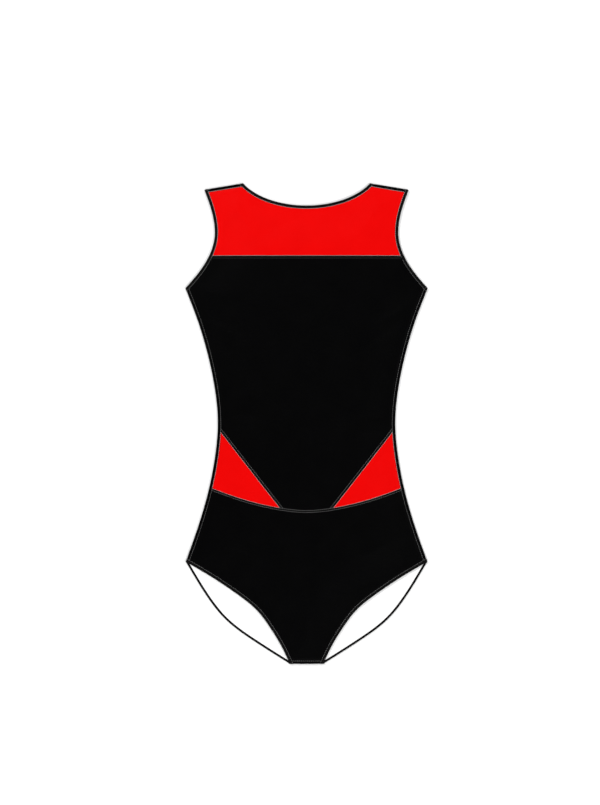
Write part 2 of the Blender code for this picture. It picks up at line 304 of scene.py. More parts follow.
def parallel(line: Line, distance: float) -> Line:
    """A line beside another.

    Args:
        line: The line, clockwise.
        distance: How far inwards it is moved.

    Returns:
        The moved line, run on straight at both ends.
    """
    moved = line + inward_normals(line) * distance
    first, last = moved[0] - moved[1], moved[-1] - moved[-2]
    before = moved[0] + first / np.linalg.norm(first) * CORNER_REACH
    after = moved[-1] + last / np.linalg.norm(last) * CORNER_REACH
    return np.concatenate([[before], moved, [after]])


def turned(one: np.ndarray, other: np.ndarray) -> np.ndarray:
    """The z of the cross product of vectors in the plane."""
    return one[..., 0] * other[..., 1] - one[..., 1] * other[..., 0]


def crossing(one: Line, other: Line, corner: np.ndarray) -> tuple[float, float]:
    """Where two lines cross nearest to a corner.

    Args:
        one: The first line.
        other: The second line.
        corner: The point that the crossing has to be near.

    Returns:
        How far along each line the crossing is, counted in its cells.
    """
    start, step = one[:-1, None], np.diff(one, axis=0)[:, None]
    from_other, step_other = other[None, :-1], np.diff(other, axis=0)[None]
    scale = turned(step, step_other)
    scale = np.where(np.abs(scale) < LEAST_TURN, LEAST_TURN, scale)
    share = turned(from_other - start, step_other) / scale
    share_other = turned(from_other - start, step) / scale
    hit = (share >= 0) & (share <= 1) & (share_other >= 0) & (share_other <= 1)
    away = np.linalg.norm(start + share[..., None] * step - corner, axis=2)
    row, column = np.unravel_index(np.argmin(np.where(hit, away, np.inf)), hit.shape)
    return row + share[row, column], column + share_other[row, column]


def portion(line: Line, first: float, last: float) -> Line:
    """The part of a line between two places.

    Args:
        line: The line.
        first: Where the part starts, counted in the line's cells.
        last: Where it ends.

    Returns:
        The part, with the line's own points between its two ends.
    """
    places = np.arange(len(line))
    inner = places[(places > first) & (places < last)]
    return read_at(np.concatenate([[first], inner, [last]]), places, line)


def inset(sides: Sides, distances: dict[str, float]) -> Sides:
    """A loop with each side moved inwards by its own distance and cut off where it meets the next.

    Args:
        sides: The loop's sides, clockwise seen from above.
        distances: How far each side moves. A side that isn't named stays.

    Returns:
        The sides of the smaller loop.
    """
    names = list(sides)
    lines = {name: parallel(sides[name], distances.get(name, 0.0)) for name in names}
    first, last = {}, {}
    for name, after in zip(names, names[1:] + names[:1]):
        last[name], first[after] = crossing(lines[name], lines[after], sides[after][0])
    return {name: portion(lines[name], first[name], last[name]) for name in names}


def nearest(points: np.ndarray, line: Line) -> tuple[np.ndarray, np.ndarray]:
    """How far points are from a line, and how far along it the place nearest to them is.

    Args:
        points: Places in the plane, with x and y last.
        line: The line.

    Returns:
        The distances and the places along the line, shaped like the points.
    """
    step = np.diff(line, axis=0)
    square, along = (step**2).sum(axis=1), arc_lengths(line)
    flat = points.reshape(-1, 1, 2)
    away, place = [], []
    for some in np.array_split(flat, len(flat) // CHUNK + 1):
        share = np.clip(((some - line[:-1]) * step).sum(axis=2) / square, 0.0, 1.0)
        gap = np.linalg.norm(some - line[:-1] - share[..., None] * step, axis=2)
        at = gap.argmin(axis=1)
        rows = np.arange(len(some))
        away.append(gap[rows, at])
        place.append(along[at] + share[rows, at] * np.sqrt(square[at]))
    shape = points.shape[:-1]
    return np.concatenate(away).reshape(shape), np.concatenate(place).reshape(shape)


def eased(value: np.ndarray, start: float, reach: float) -> np.ndarray:
    """A smooth step from 0 where the value is start to 1 where it is start + reach."""
    share = np.clip((value - start) / reach, 0.0, 1.0)
    return share * share * (3 - 2 * share)


@dataclass(frozen=True)
class Cut:
    """The lines that the garment is cut by, on the half with x >= 0."""

    length: float = 0.6615
    neck_half: float = 0.0875
    neck_ellipse_half: float = 0.0990
    front_neck_depth: float = 0.0307
    back_neck_depth: float = 0.0750
    back_armhole_inset: float = 0.0015
    yoke_seam_drop: float = 0.1018
    hip_seam_drop: float = 0.4516
    hip_seam_bow: float = 0.977
    hip_seam_power: float = 1.7
    hip_dip_half: float = 0.1345
    inset_top_drop: float = 0.3348
    inset_tip_half: float = 0.0332
    spacing: float = 0.002
    shoulder_tip: Spot = Spot(half=0.1408, drop=0.0088)
    underarm: Spot = Spot(half=0.1668, drop=0.1446)
    hip: Spot = Spot(half=0.1663, drop=0.5207)
    crotch: Spot = Spot(half=0.0228, drop=0.6615)
    armhole_spots: tuple[Spot, ...] = (
        Spot(half=0.1325, drop=0.0317),
        Spot(half=0.1273, drop=0.0537),
        Spot(half=0.1262, drop=0.0675),
        Spot(half=0.1289, drop=0.0864),
        Spot(half=0.1356, drop=0.1030),
        Spot(half=0.1501, drop=0.1252),
    )
    side_spots: tuple[Spot, ...] = (
        Spot(half=0.1499, drop=0.1886),
        Spot(half=0.1340, drop=0.2437),
        Spot(half=0.1241, drop=0.2987),
        Spot(half=0.1222, drop=0.3330),
        Spot(half=0.1248, drop=0.3676),
        Spot(half=0.1349, drop=0.4227),
        Spot(half=0.1510, drop=0.4778),
    )
    front_leg_spots: tuple[Spot, ...] = (
        Spot(half=0.1315, drop=0.5412),
        Spot(half=0.0985, drop=0.5632),
        Spot(half=0.0707, drop=0.5852),
        Spot(half=0.0530, drop=0.6072),
        Spot(half=0.0389, drop=0.6292),
    )
    back_leg_spots: tuple[Spot, ...] = (
        Spot(half=0.1509, drop=0.5467),
        Spot(half=0.1291, drop=0.5797),
        Spot(half=0.1038, drop=0.6072),
        Spot(half=0.0736, drop=0.6292),
    )

    def placed(self, spots: Sequence[tuple[float, float]] | np.ndarray) -> Line:
        """Points (x, y) of spots given as (half, drop)."""
        half, drop = np.array(spots, float).T
        return np.stack([half, self.length / 2 - drop], axis=1)

    @staticmethod
    def half_at(spots: Sequence[Spot], drops: np.ndarray) -> np.ndarray:
        """Half widths on the natural cubic spline through the spots.

        Args:
            spots: The points that the line goes through.
            drops: Where it is read.

        Returns:
            The half width at each drop.
        """
        half, knots = (np.array(column, float) for column in zip(*spots))
        span = np.diff(knots)
        slope = np.diff(half) / span
        count = len(knots)
        system, right = np.identity(count), np.zeros(count)
        for i in range(1, count - 1):
            system[i, i - 1 : i + 2] = span[i - 1], 2 * (span[i - 1] + span[i]), span[i]
            right[i] = 6 * (slope[i] - slope[i - 1])
        bend = np.linalg.solve(system, right)
        i = np.clip(np.searchsorted(knots, drops, side="right") - 1, 0, count - 2)
        s = drops - knots[i]
        start = slope[i] - span[i] * (2 * bend[i] + bend[i + 1]) / 6
        return half[i] + s * (start + s * (bend[i] / 2 + s * (bend[i + 1] - bend[i]) / (6 * span[i])))

    def stretch(self, spots: Sequence[Spot], first: float | None = None, last: float | None = None) -> Line:
        """Part of the smooth line through the spots.

        Args:
            spots: The points that the line goes through.
            first: The drop where the part starts, or None for the line's own start.
            last: The drop where it ends, or None for the line's own end.

        Returns:
            The line, evenly spaced.
        """
        first = spots[0].drop if first is None else first
        last = spots[-1].drop if last is None else last
        drops = np.linspace(first, last, SPLINE_CELLS + 1)
        return evenly(self.placed(np.stack([self.half_at(spots, drops), drops], axis=1)), self.spacing)

    @property
    def armhole(self) -> tuple[Spot, ...]:
        """The armhole from the shoulder tip to the underarm."""
        return (self.shoulder_tip, *self.armhole_spots, self.underarm)

    @property
    def side(self) -> tuple[Spot, ...]:
        """The side from the underarm to the hip."""
        return (self.underarm, *self.side_spots, self.hip)

    def hip_seam_drop_at(self, half: np.ndarray) -> np.ndarray:
        """The drop of the bowed hip seam at half widths."""
        return self.hip_seam_drop - self.hip_seam_bow * half**self.hip_seam_power

    @property
    def hip_seam_side_drop(self) -> float:
        """The drop where the hip seam meets the side.

        Returns:
            The drop, found by a fine search.
        """
        drops = np.linspace(self.inset_top_drop, self.hip.drop, SEARCH_CELLS + 1)
        apart = drops - self.hip_seam_drop_at(self.half_at(self.side, drops))
        return float(drops[np.argmin(np.abs(apart))])

    def neckline(self, depth: float) -> Line:
        """The neck edge, an arc of an ellipse.

        Args:
            depth: How far the arc drops at the centre.

        Returns:
            The line from the centre to the neck point.
        """
        reach = math.asin(self.neck_half / self.neck_ellipse_half)
        height = depth / (1 - math.cos(reach))
        turn = np.linspace(0.0, reach, NECK_CELLS + 1)
        half = self.neck_ellipse_half * np.sin(turn)
        line = self.placed(np.stack([half, depth - height * (1 - np.cos(turn))], axis=1))
        return evenly(line, self.spacing)

    def hip_seam(self, first_half: float, last_half: float) -> Line:
        """The bowed hip seam between two half widths."""
        half = np.linspace(first_half, last_half, SEAM_CELLS + 1)
        return evenly(self.placed(np.stack([half, self.hip_seam_drop_at(half)], axis=1)), self.spacing)

    @property
    def yoke_seam(self) -> Line:
        """The straight yoke seam from the centre to the armhole."""
        end = self.half_at(self.armhole, np.array([self.yoke_seam_drop]))[0]
        return self.placed([(0.0, self.yoke_seam_drop), (end, self.yoke_seam_drop)])

    @property
    def slant_seam(self) -> Line:
        """The slanting seam from the side down to the hip seam."""
        top = self.stretch(self.side, last=self.inset_top_drop)[-1]
        return np.array([top, self.hip_seam(self.inset_tip_half, 0.0)[0]])

    @staticmethod
    def closed(**sides: Line) -> Sides:
        """A half outline, given as its named sides, with the centre line that closes it."""
        lines = list(sides.values())
        return {**sides, "centre": np.array([lines[-1][-1], lines[0][0]])}

    def layer(self, layer: Layer) -> Sides:
        """The outline of a layer.

        Args:
            layer: The front or the back.

        Returns:
            Its sides on the half with x >= 0, clockwise from the neck.
        """
        front = layer is Layer.FRONT
        leg = self.front_leg_spots if front else self.back_leg_spots
        sides = self.closed(
            neck=self.neckline(self.front_neck_depth if front else self.back_neck_depth),
            shoulder=self.placed([(self.neck_half, 0.0), self.shoulder_tip]),
            armhole=self.stretch(self.armhole),
            side=self.stretch(self.side),
            leg=self.stretch((self.hip, *leg, self.crotch)),
            crotch=self.placed([self.crotch, (0.0, self.length)]),
        )
        return sides if front else inset(sides, {"armhole": self.back_armhole_inset})

    def yoke(self) -> Sides:
        """The yoke: neck, shoulder and upper armhole down to the yoke seam.

        Returns:
            The sides of its left half, clockwise.
        """
        front = self.layer(Layer.FRONT)
        return self.closed(
            neck=front["neck"],
            shoulder=front["shoulder"],
            armhole=self.stretch(self.armhole, last=self.yoke_seam_drop),
            yoke_seam=self.yoke_seam[::-1],
        )

    def body(self) -> Sides:
        """The body: from the yoke seam past the waist, then between the slanting seams to the hip seam.

        Returns:
            The sides of its left half, clockwise.
        """
        return self.closed(
            yoke_seam=self.yoke_seam,
            armhole=self.stretch(self.armhole, first=self.yoke_seam_drop),
            side=self.stretch(self.side, last=self.inset_top_drop),
            slant_seam=self.slant_seam,
            hip_seam=self.hip_seam(self.inset_tip_half, 0.0),
        )

    def side_inset(self) -> Sides:
        """A side inset: a triangle between side, hip seam and slanting seam, its point at the waist.

        Returns:
            Its sides, clockwise.
        """
        side = self.stretch(self.side, self.inset_top_drop, self.hip_seam_side_drop)
        return {
            "side": side,
            "hip_seam": self.hip_seam(side[-1, 0], self.inset_tip_half),
            "slant_seam": self.slant_seam[::-1],
        }

    def brief(self) -> Sides:
        """The brief: from the hip seam down to the crotch, cut away for the legs.

        Returns:
            The sides of its left half, clockwise.
        """
        front = self.layer(Layer.FRONT)
        side = self.stretch(self.side, first=self.hip_seam_side_drop)
        hip_seam = self.hip_seam(0.0, side[0, 0])
        return self.closed(hip_seam=hip_seam, side=side, leg=front["leg"], crotch=front["crotch"])


BOUND = ("neck", "armhole", "leg")
FOLDED = ("shoulder", "side", "crotch")
SEAMS = ("yoke_seam", "slant_seam", "hip_seam")


@dataclass(frozen=True)
class Make:
    """How the garment is made up: cloth, laps, bindings and the heights that they lie at.

    Flaps are the cloth of the back that laps over the front beside a fold. The rows are how far in from the
    edge the needle thread runs, and needle_share is how far out on a seam's cover.
    """

    cloth: float = 0.00055
    fold_inset: float = 0.001375
    front_face: float = 0.00275
    flap_width: float = 0.0045
    lap: float = 0.0015
    lap_gap: float = 0.00008
    binding_width: float = 0.0045
    binding_half: float = 0.00065
    front_binding: float = 0.00225
    back_binding: float = 0.00065
    bound_inset: float = 0.0010
    seam_gap: float = 0.0001
    cover_half: dict[str, float] = field(
        default_factory=lambda: {"yoke_seam": 0.0026, "slant_seam": 0.00195, "hip_seam": 0.0017}
    )
    needle_share: float = 0.83
    binding_row: float = 0.00415
    flap_row: float = 0.00425

    def margins(self, folded: float, bound: float | None = None) -> dict[str, float]:
        """How far in from the outline and the seams the sides of a piece lie.

        Args:
            folded: The distance of the sides along folds.
            bound: The distance of the sides inside bindings, or None for how far the cloth reaches in.

        Returns:
            The distances by the names of the sides.
        """
        bound = self.bound_inset if bound is None else bound
        return {
            **dict.fromkeys(BOUND, bound),
            **dict.fromkeys(FOLDED, folded),
            **dict.fromkeys(SEAMS, self.seam_gap),
        }

    @property
    def lapped(self) -> dict[str, float]:
        """The margins of a front panel, whose folded sides reach under the flaps."""
        return self.margins(self.flap_width - self.lap)


@dataclass(frozen=True)
class Drape:
    """How the layers lie: the height of each outer face over the plane, with creases and puckers.

    An ease or a reach is the distance over which one height passes into the next.
    """

    cut: Cut
    make: Make
    rise: float = 0.0024
    rise_reach: float = 0.055
    binding_ease: float = 0.0024
    back_binding_ease: float = 0.0030
    flap_clearance: float = 0.0001
    flap_ease: float = 0.0030
    seam_dip: float = 0.00014
    seam_reach: float = 0.0026
    crease_start: float = 0.004
    crease_ease: float = 0.020
    ripple: dict[str, float] = field(
        default_factory=lambda: {"neck": 0.00010, "armhole": 0.00012, "leg": 0.00022}
    )
    ripple_reach: float = 0.013
    ripple_shift: float = 0.137
    ripple_waves: tuple[Wave, ...] = (
        Wave(share=0.50, length=0.0193, phase=0.7),
        Wave(share=0.32, length=0.0117, phase=2.1),
        Wave(share=0.18, length=0.0073, phase=4.0),
    )
    front_creases: tuple[Crease, ...] = (
        Crease(x=0.118, y=0.148, turn=28, reach=0.034, width=0.0060, height=-0.00050, bow=1.2),
        Crease(x=0.108, y=0.128, turn=36, reach=0.040, width=0.0070, height=0.00045, bow=-0.8),
        Crease(x=-0.121, y=0.141, turn=151, reach=0.030, width=0.0065, height=-0.00045, bow=-1.4),
        Crease(x=-0.104, y=0.121, turn=139, reach=0.046, width=0.0080, height=0.00040, bow=0.7),
        Crease(x=0.082, y=0.006, turn=4, reach=0.036, width=0.0060, height=-0.00042, bow=0.6),
        Crease(x=0.090, y=-0.012, turn=-7, reach=0.030, width=0.0055, height=0.00034, bow=0.4),
        Crease(x=-0.086, y=0.014, turn=-5, reach=0.040, width=0.0065, height=-0.00046, bow=-0.5),
        Crease(x=-0.078, y=-0.008, turn=9, reach=0.028, width=0.0050, height=0.00030, bow=0.8),
        Crease(x=0.020, y=0.060, turn=84, reach=0.070, width=0.0120, height=-0.00045, bow=0.10),
        Crease(x=-0.034, y=0.020, turn=97, reach=0.085, width=0.0140, height=0.00042, bow=-0.12),
        Crease(x=0.052, y=-0.150, turn=38, reach=0.040, width=0.0070, height=-0.00040, bow=0.9),
        Crease(x=-0.058, y=-0.158, turn=140, reach=0.046, width=0.0075, height=-0.00044, bow=-0.7),
        Crease(x=0.096, y=-0.172, turn=22, reach=0.034, width=0.0060, height=0.00032, bow=0.6),
        Crease(x=-0.100, y=-0.168, turn=160, reach=0.030, width=0.0055, height=0.00034, bow=-0.5),
        Crease(x=0.004, y=-0.236, turn=92, reach=0.044, width=0.0090, height=-0.00036, bow=0.3),
        Crease(x=0.060, y=0.268, turn=-24, reach=0.030, width=0.0070, height=-0.00036, bow=0.7),
        Crease(x=-0.052, y=0.262, turn=208, reach=0.034, width=0.0080, height=-0.00034, bow=-0.6),
        Crease(x=0.112, y=0.262, turn=74, reach=0.022, width=0.0050, height=0.00028, bow=0.5),
    )
    back_creases: tuple[Crease, ...] = (
        Crease(x=0.086, y=0.110, turn=32, reach=0.050, width=0.0080, height=0.00045, bow=0.8),
        Crease(x=-0.094, y=0.118, turn=146, reach=0.040, width=0.0070, height=0.00040, bow=-0.9),
        Crease(x=0.070, y=-0.004, turn=3, reach=0.044, width=0.0070, height=0.00042, bow=0.5),
        Crease(x=-0.074, y=0.010, turn=-6, reach=0.038, width=0.0060, height=0.00040, bow=-0.4),
        Crease(x=0.012, y=0.050, turn=88, reach=0.080, width=0.0130, height=0.00045, bow=0.12),
        Crease(x=0.064, y=-0.200, turn=40, reach=0.044, width=0.0080, height=0.00040, bow=0.8),
        Crease(x=-0.070, y=-0.194, turn=142, reach=0.040, width=0.0070, height=0.00044, bow=-0.7),
        Crease(x=-0.010, y=-0.140, turn=95, reach=0.060, width=0.0110, height=0.00036, bow=-0.15),
    )

    @staticmethod
    def creased(points: np.ndarray, creases: Sequence[Crease]) -> np.ndarray:
        """The height that creases add.

        Args:
            points: Places (x, y).
            creases: The creases.

        Returns:
            The heights, shaped like the points.
        """
        total = np.zeros(points.shape[:-1])
        for crease in creases:
            angle = math.radians(crease.turn)
            x, y = points[..., 0] - crease.x, points[..., 1] - crease.y
            along = x * math.cos(angle) + y * math.sin(angle)
            across = y * math.cos(angle) - x * math.sin(angle) - crease.bow * along**2
            total += crease.height * np.exp(-((along / crease.reach) ** 2) - (across / crease.width) ** 2)
        return total

    def rippled(self, name: str, along: np.ndarray, x: np.ndarray) -> np.ndarray:
        """Uneven small waves along a bound edge.

        Args:
            name: The edge's name.
            along: How far along the edge each place is.
            x: The places' x, because the waves are unlike on the two sides.

        Returns:
            The height of the waves at each place.
        """
        turn = 2 * math.pi * (along + np.where(x < 0, self.ripple_shift, 0.0))
        waves = [wave.share * np.sin(turn / wave.length + wave.phase) for wave in self.ripple_waves]
        return self.ripple[name] * sum(waves)

    def crease_share(self, edge: np.ndarray) -> np.ndarray:
        """How much of the creases is left at distances from the edge."""
        return eased(edge, self.crease_start, self.crease_ease)

    def folded_points(self, points: np.ndarray) -> np.ndarray:
        """The points with both halves laid on the half that the cut is worked out on."""
        return np.stack([np.abs(points[..., 0]), points[..., 1]], axis=-1)

    def run_on(self, layer: Layer) -> Sides:
        """The layer's sides, each run on straight at both ends, past the corners."""
        return {name: parallel(line, 0.0) for name, line in self.cut.layer(layer).items()}

    def front(self, points: np.ndarray, flap: bool = False) -> np.ndarray:
        """Height of the front layer's outer face.

        Args:
            points: Places (x, y).
            flap: Whether it is the cloth of the back that laps over the front panels.

        Returns:
            The heights, shaped like the points.
        """
        make, outline = self.make, self.run_on(Layer.FRONT)
        half = self.folded_points(points)
        edge = np.full(points.shape[:-1], np.inf)
        dip, waves = np.zeros_like(edge), np.zeros_like(edge)
        bound_dip = make.front_face - make.front_binding - make.cloth / 2
        for name in BOUND:
            away, along = nearest(half, outline[name])
            edge = np.minimum(edge, away)
            held = 1 - eased(away, make.binding_width, self.binding_ease)
            dip = np.maximum(dip, bound_dip * held)
            fade = np.exp(-((away / self.ripple_reach) ** 2))
            waves += self.rippled(name, along, points[..., 0]) * fade
        for name in FOLDED:
            away, _ = nearest(half, outline[name])
            edge = np.minimum(edge, away)
            if not flap:
                held = 1 - eased(away, make.flap_width + self.flap_clearance, self.flap_ease)
                dip = np.maximum(dip, (make.cloth + make.lap_gap) * held)
        if not flap:
            hip = self.cut.hip_seam(0.0, self.cut.hip_dip_half)
            for seam in (self.cut.yoke_seam, self.cut.slant_seam, hip):
                away, _ = nearest(half, seam)
                waves -= self.seam_dip * np.exp(-((away / self.seam_reach) ** 2))
        hump = self.rise * eased(edge, make.flap_width, self.rise_reach)
        creases = self.creased(points, self.front_creases) * self.crease_share(edge)
        return make.front_face + hump + creases + waves - dip

    def back(self, points: np.ndarray) -> np.ndarray:
        """Height of the back's outer face, which is 0 where it lies on the surface.

        Args:
            points: Places (x, y).

        Returns:
            The heights, shaped like the points.
        """
        make, outline = self.make, self.run_on(Layer.BACK)
        half = self.folded_points(points)
        edge = np.full(points.shape[:-1], np.inf)
        lift = np.zeros_like(edge)
        for name in BOUND:
            away, along = nearest(half, outline[name])
            edge = np.minimum(edge, away)
            free = eased(away, make.binding_width, self.back_binding_ease)
            lift = np.maximum(lift, (make.back_binding - make.cloth / 2) * (1 - free))
            fade = free * np.exp(-((away / self.ripple_reach) ** 2))
            lift += np.maximum(self.rippled(name, along, points[..., 0]), 0.0) * fade
        return lift + self.creased(points, self.back_creases) * self.crease_share(edge)


# Meshes


def coons(top: Line, outer: Line, bottom: Line, inner: Line) -> np.ndarray:
    """Points of a patch between four lines.

    Args:
        top: The upper line, running outwards.
        outer: The outer line, running down.
        bottom: The lower line, running outwards.
        inner: The inner line, running down.

    Returns:
        Rows of points (x, y), from top to bottom.
    """
    u = np.linspace(0.0, 1.0, len(top))[None, :, None]
    v = np.linspace(0.0, 1.0, len(outer))[:, None, None]
    between = top[None] * (1 - v) + bottom[None] * v
    across = inner[:, None] * (1 - u) + outer[:, None] * u
    top_corners = top[0] * (1 - u) + top[-1] * u
    bottom_corners = bottom[0] * (1 - u) + bottom[-1] * u
    return between + across - top_corners * (1 - v) - bottom_corners * v


def centre_line(outer: Line, top: float, bottom: float) -> Line:
    """Points on the centre line between two y, in step with the rows of the outer edge."""
    share = (outer[:, 1] - outer[0, 1]) / (outer[-1, 1] - outer[0, 1])
    return np.stack([np.zeros(len(outer)), top + (bottom - top) * share], axis=1)


def raised(points: np.ndarray, heights: np.ndarray) -> np.ndarray:
    """Points (x, y) with their heights as z."""
    return np.concatenate([points, heights[..., None]], axis=-1)


def upwards(count: int) -> np.ndarray:
    """Directions straight up, as rows."""
    return np.tile([0.0, 0.0, 1.0], (count, 1))


def on_hand(line: Line, hand: Hand) -> Line:
    """A clockwise line on one side of the garment.

    Args:
        line: The line on the wearer's left.
        hand: The side that it is wanted on.

    Returns:
        The line, or its mirror image, which is clockwise too.
    """
    if hand is Hand.LEFT:
        return line
    return line[::-1] * np.array([-1.0, 1.0, 1.0])[: line.shape[-1]]


def mirrored(patch: np.ndarray) -> np.ndarray:
    """A patch of the left half on the other side of the centre line, with its columns still to the right."""
    return patch[:, ::-1] * np.array([-1.0, 1.0])


def whole(patch: np.ndarray) -> np.ndarray:
    """A patch of the left half with its mirror image, across the centre line."""
    return np.concatenate([mirrored(patch)[:, :-1], patch], axis=1)


def grid_faces(rows: int, columns: int, first: int) -> np.ndarray:
    """The faces of a grid, which face up with rows down and columns to the right.

    Args:
        rows: How many rows of points it has.
        columns: How many columns.
        first: The number of its first point.

    Returns:
        The corner numbers, four to a row.
    """
    at = first + np.arange(rows * columns).reshape(rows, columns)
    corners = [at[:-1, :-1], at[1:, :-1], at[1:, 1:], at[:-1, 1:]]
    return np.stack(corners, axis=-1).reshape(-1, 4)


def tube_faces(rings: np.ndarray) -> list[list[int]]:
    """The faces between rings of points.

    Args:
        rings: The numbers of the points, with the rings and their points last.

    Returns:
        The corner numbers of the faces.
    """
    one, other = rings[..., :-1, :], rings[..., 1:, :]
    corners = [one, np.roll(one, -1, axis=-1), np.roll(other, -1, axis=-1), other]
    return np.stack(corners, axis=-1).reshape(-1, 4).tolist()


def tube_mesh(name: str, points: np.ndarray, faces: list[list[int]], uv: np.ndarray) -> bpy.types.Mesh:
    """A smooth mesh with a map that runs along it.

    Args:
        name: The mesh's name.
        points: Its points, with x, y and z last.
        faces: The corner numbers of its faces, with the caps last.
        uv: The map in metres for the faces before the caps, x round the tube and y along it. The caps' is 0.

    Returns:
        The mesh.
    """
    mesh = bpy.data.meshes.new(name)
    mesh.from_pydata(points.reshape(-1, 3).tolist(), [], faces)
    places = np.zeros((len(mesh.loops), 2), np.float32)
    places[: len(uv)] = uv
    mesh.uv_layers.new(name=STRIP_MAP).data.foreach_set("uv", places.ravel())
    mesh.shade_smooth()
    return mesh


def welded(name: str, patches: Sequence[np.ndarray]) -> bpy.types.Mesh:
    """One mesh from patches, welded where they meet.

    Args:
        name: The mesh's name.
        patches: Rows and columns of points (x, y, z). With rows down and columns to the right, one faces up.

    Returns:
        The mesh.
    """
    faces, first = [], 0
    for patch in patches:
        faces.append(grid_faces(*patch.shape[:2], first))
        first += patch.shape[0] * patch.shape[1]
    points = np.concatenate([patch.reshape(-1, 3) for patch in patches])
    mesh = bpy.data.meshes.new(name)
    mesh.from_pydata(points.tolist(), [], np.concatenate(faces).tolist())
    built = bmesh.new()
    built.from_mesh(mesh)
    bmesh.ops.remove_doubles(built, verts=built.verts, dist=WELD_DISTANCE)
    built.to_mesh(mesh)
    built.free()
    return mesh


def lofted(name: str, rings: np.ndarray, closed: bool) -> bpy.types.Mesh:
    """A tube through rings of points, with its ends joined or capped.

    Args:
        name: The mesh's name.
        rings: The points, as rings, points of each ring, and x, y and z. Seen along the tube with the
            outside up, a ring runs from left to right over the top.
        closed: Whether the last ring joins the first.

    Returns:
        The mesh, with a UV map in metres: x round the tube and y along it.
    """
    at = np.arange(rings[..., 0].size).reshape(rings.shape[:2])
    faces = tube_faces(np.concatenate([at, at[:1]]) if closed else at)
    spans = len(faces) // at.shape[1]
    around = arc_lengths(np.concatenate([rings[0], rings[0][:1]]))
    along = arc_lengths(np.concatenate([rings[:, 0], rings[:1, 0]]))[: spans + 1]
    places = np.stack(np.broadcast_arrays(around[None, :], along[:, None]), axis=-1)
    corners = [places[:-1, :-1], places[:-1, 1:], places[1:, 1:], places[1:, :-1]]
    caps = [] if closed else [at[0, ::-1].tolist(), at[-1].tolist()]
    mesh = tube_mesh(name, rings, faces + caps, np.stack(corners, axis=2).reshape(-1, 2))
    mesh.set_sharp_from_angle(angle=SHARP_ANGLE)
    return mesh


def piece(
    name: str,
    mesh: bpy.types.Mesh,
    materials: Sequence[bpy.types.Material],
    slot: str | None = None,
) -> bpy.types.Object:
    """An object that rides on the garment's body.

    Args:
        name: The object's name.
        mesh: Its mesh.
        materials: The materials in the order of the mesh's slots.
        slot: The material slot of the record that its finish belongs to, if it has one.

    Returns:
        The object.
    """
    for material in materials:
        mesh.materials.append(material)
    made = bpy.data.objects.new(name, mesh)
    bpy.context.scene.collection.objects.link(made)
    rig.ride(made, BODY)
    if slot:
        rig.slot(made, slot)
    LOG.info("%s: %d faces", name, len(mesh.polygons))
    return made


def walled(made: bpy.types.Object, thickness: float) -> None:
    """Gives an open sheet a wall behind its outer face.

    Args:
        made: The object. Its first material is for the outer face, and its last for the inner one.
        thickness: The wall's thickness.
    """
    wall = made.modifiers.new("wall", "SOLIDIFY")
    wall.thickness = thickness
    wall.offset = -1.0
    wall.use_even_offset = True
    wall.material_offset = len(made.data.materials) - 1
    bpy.context.view_layer.update()
    evaluated = made.evaluated_get(bpy.context.evaluated_depsgraph_get())
    mesh = bpy.data.meshes.new_from_object(evaluated)
    open_sheet = made.data
    made.modifiers.clear()
    made.data = mesh
    bpy.data.meshes.remove(open_sheet)
    mesh.name = made.name
    mesh.shade_smooth()
    mesh.set_sharp_from_angle(angle=SHARP_ANGLE)


def flat_size(sides: Sides, widths: int = 2) -> dict[str, object]:
    """Args:
        sides: The loop of the piece, or of its left half.
        widths: 2 where the loop is half of the piece, and otherwise 1.

    Returns:
        Its width and length, and its area.
    """
    loop = np.concatenate([line[:-1] for line in sides.values()])
    after = np.roll(loop, -1, axis=0)
    area = abs(turned(loop, after).sum()) / 2 * widths
    width, length = np.ptp(loop, axis=0)
    return {"flat": (float(width) * widths, float(length)), "area": float(area)}


# Shader nodes

Value = float | tuple[float, ...] | bpy.types.NodeSocket

# The sockets of a Mix node for colours, which share their names with those for other kinds
MIX_FACTOR, MIX_FIRST, MIX_SECOND, MIX_RESULT = 0, 6, 7, 2


class Graph:
    """Adds nodes to a tree and joins them."""

    def __init__(self, tree: bpy.types.NodeTree) -> None:
        """Takes the tree that the nodes are for."""
        self.tree = tree

    def feed(self, socket: bpy.types.NodeSocket, value: Value) -> None:
        """Joins a socket to another, or gives it a value.

        Args:
            socket: The socket.
            value: The other socket, or the value.
        """
        if isinstance(value, bpy.types.NodeSocket):
            self.tree.links.new(value, socket)
        else:
            socket.default_value = value

    def add(
        self, kind: str, inputs: dict[str | int, Value] | None = None, **settings: object
    ) -> bpy.types.Node:
        """Adds a node.

        Args:
            kind: The node's type.
            inputs: What goes into its sockets, by name or number.
            settings: Its other values.

        Returns:
            The node.
        """
        node = self.tree.nodes.new(kind)
        for name, value in settings.items():
            setattr(node, name, value)
        for key, value in (inputs or {}).items():
            self.feed(node.inputs[key], value)
        return node

    def math(self, operation: str, *values: Value) -> bpy.types.NodeSocket:
        """The result of a Math node."""
        return self.add("ShaderNodeMath", dict(enumerate(values)), operation=operation).outputs[0]

    def group(self, tree: bpy.types.NodeTree, **inputs: Value) -> bpy.types.Node:
        """A group node, with its inputs by name."""
        return self.add("ShaderNodeGroup", inputs, node_tree=tree)

    def colour(self, factor: Value, first: Value, second: Value) -> bpy.types.NodeSocket:
        """A mix of two colours."""
        inputs = {MIX_FACTOR: factor, MIX_FIRST: first, MIX_SECOND: second}
        return self.add("ShaderNodeMix", inputs, data_type="RGBA").outputs[MIX_RESULT]

    def between(self, value: Value, low: float, high: float) -> bpy.types.NodeSocket:
        """A value from 0 to 1 put between two others."""
        return self.add("ShaderNodeMapRange", {"Value": value, "To Min": low, "To Max": high}).outputs[0]


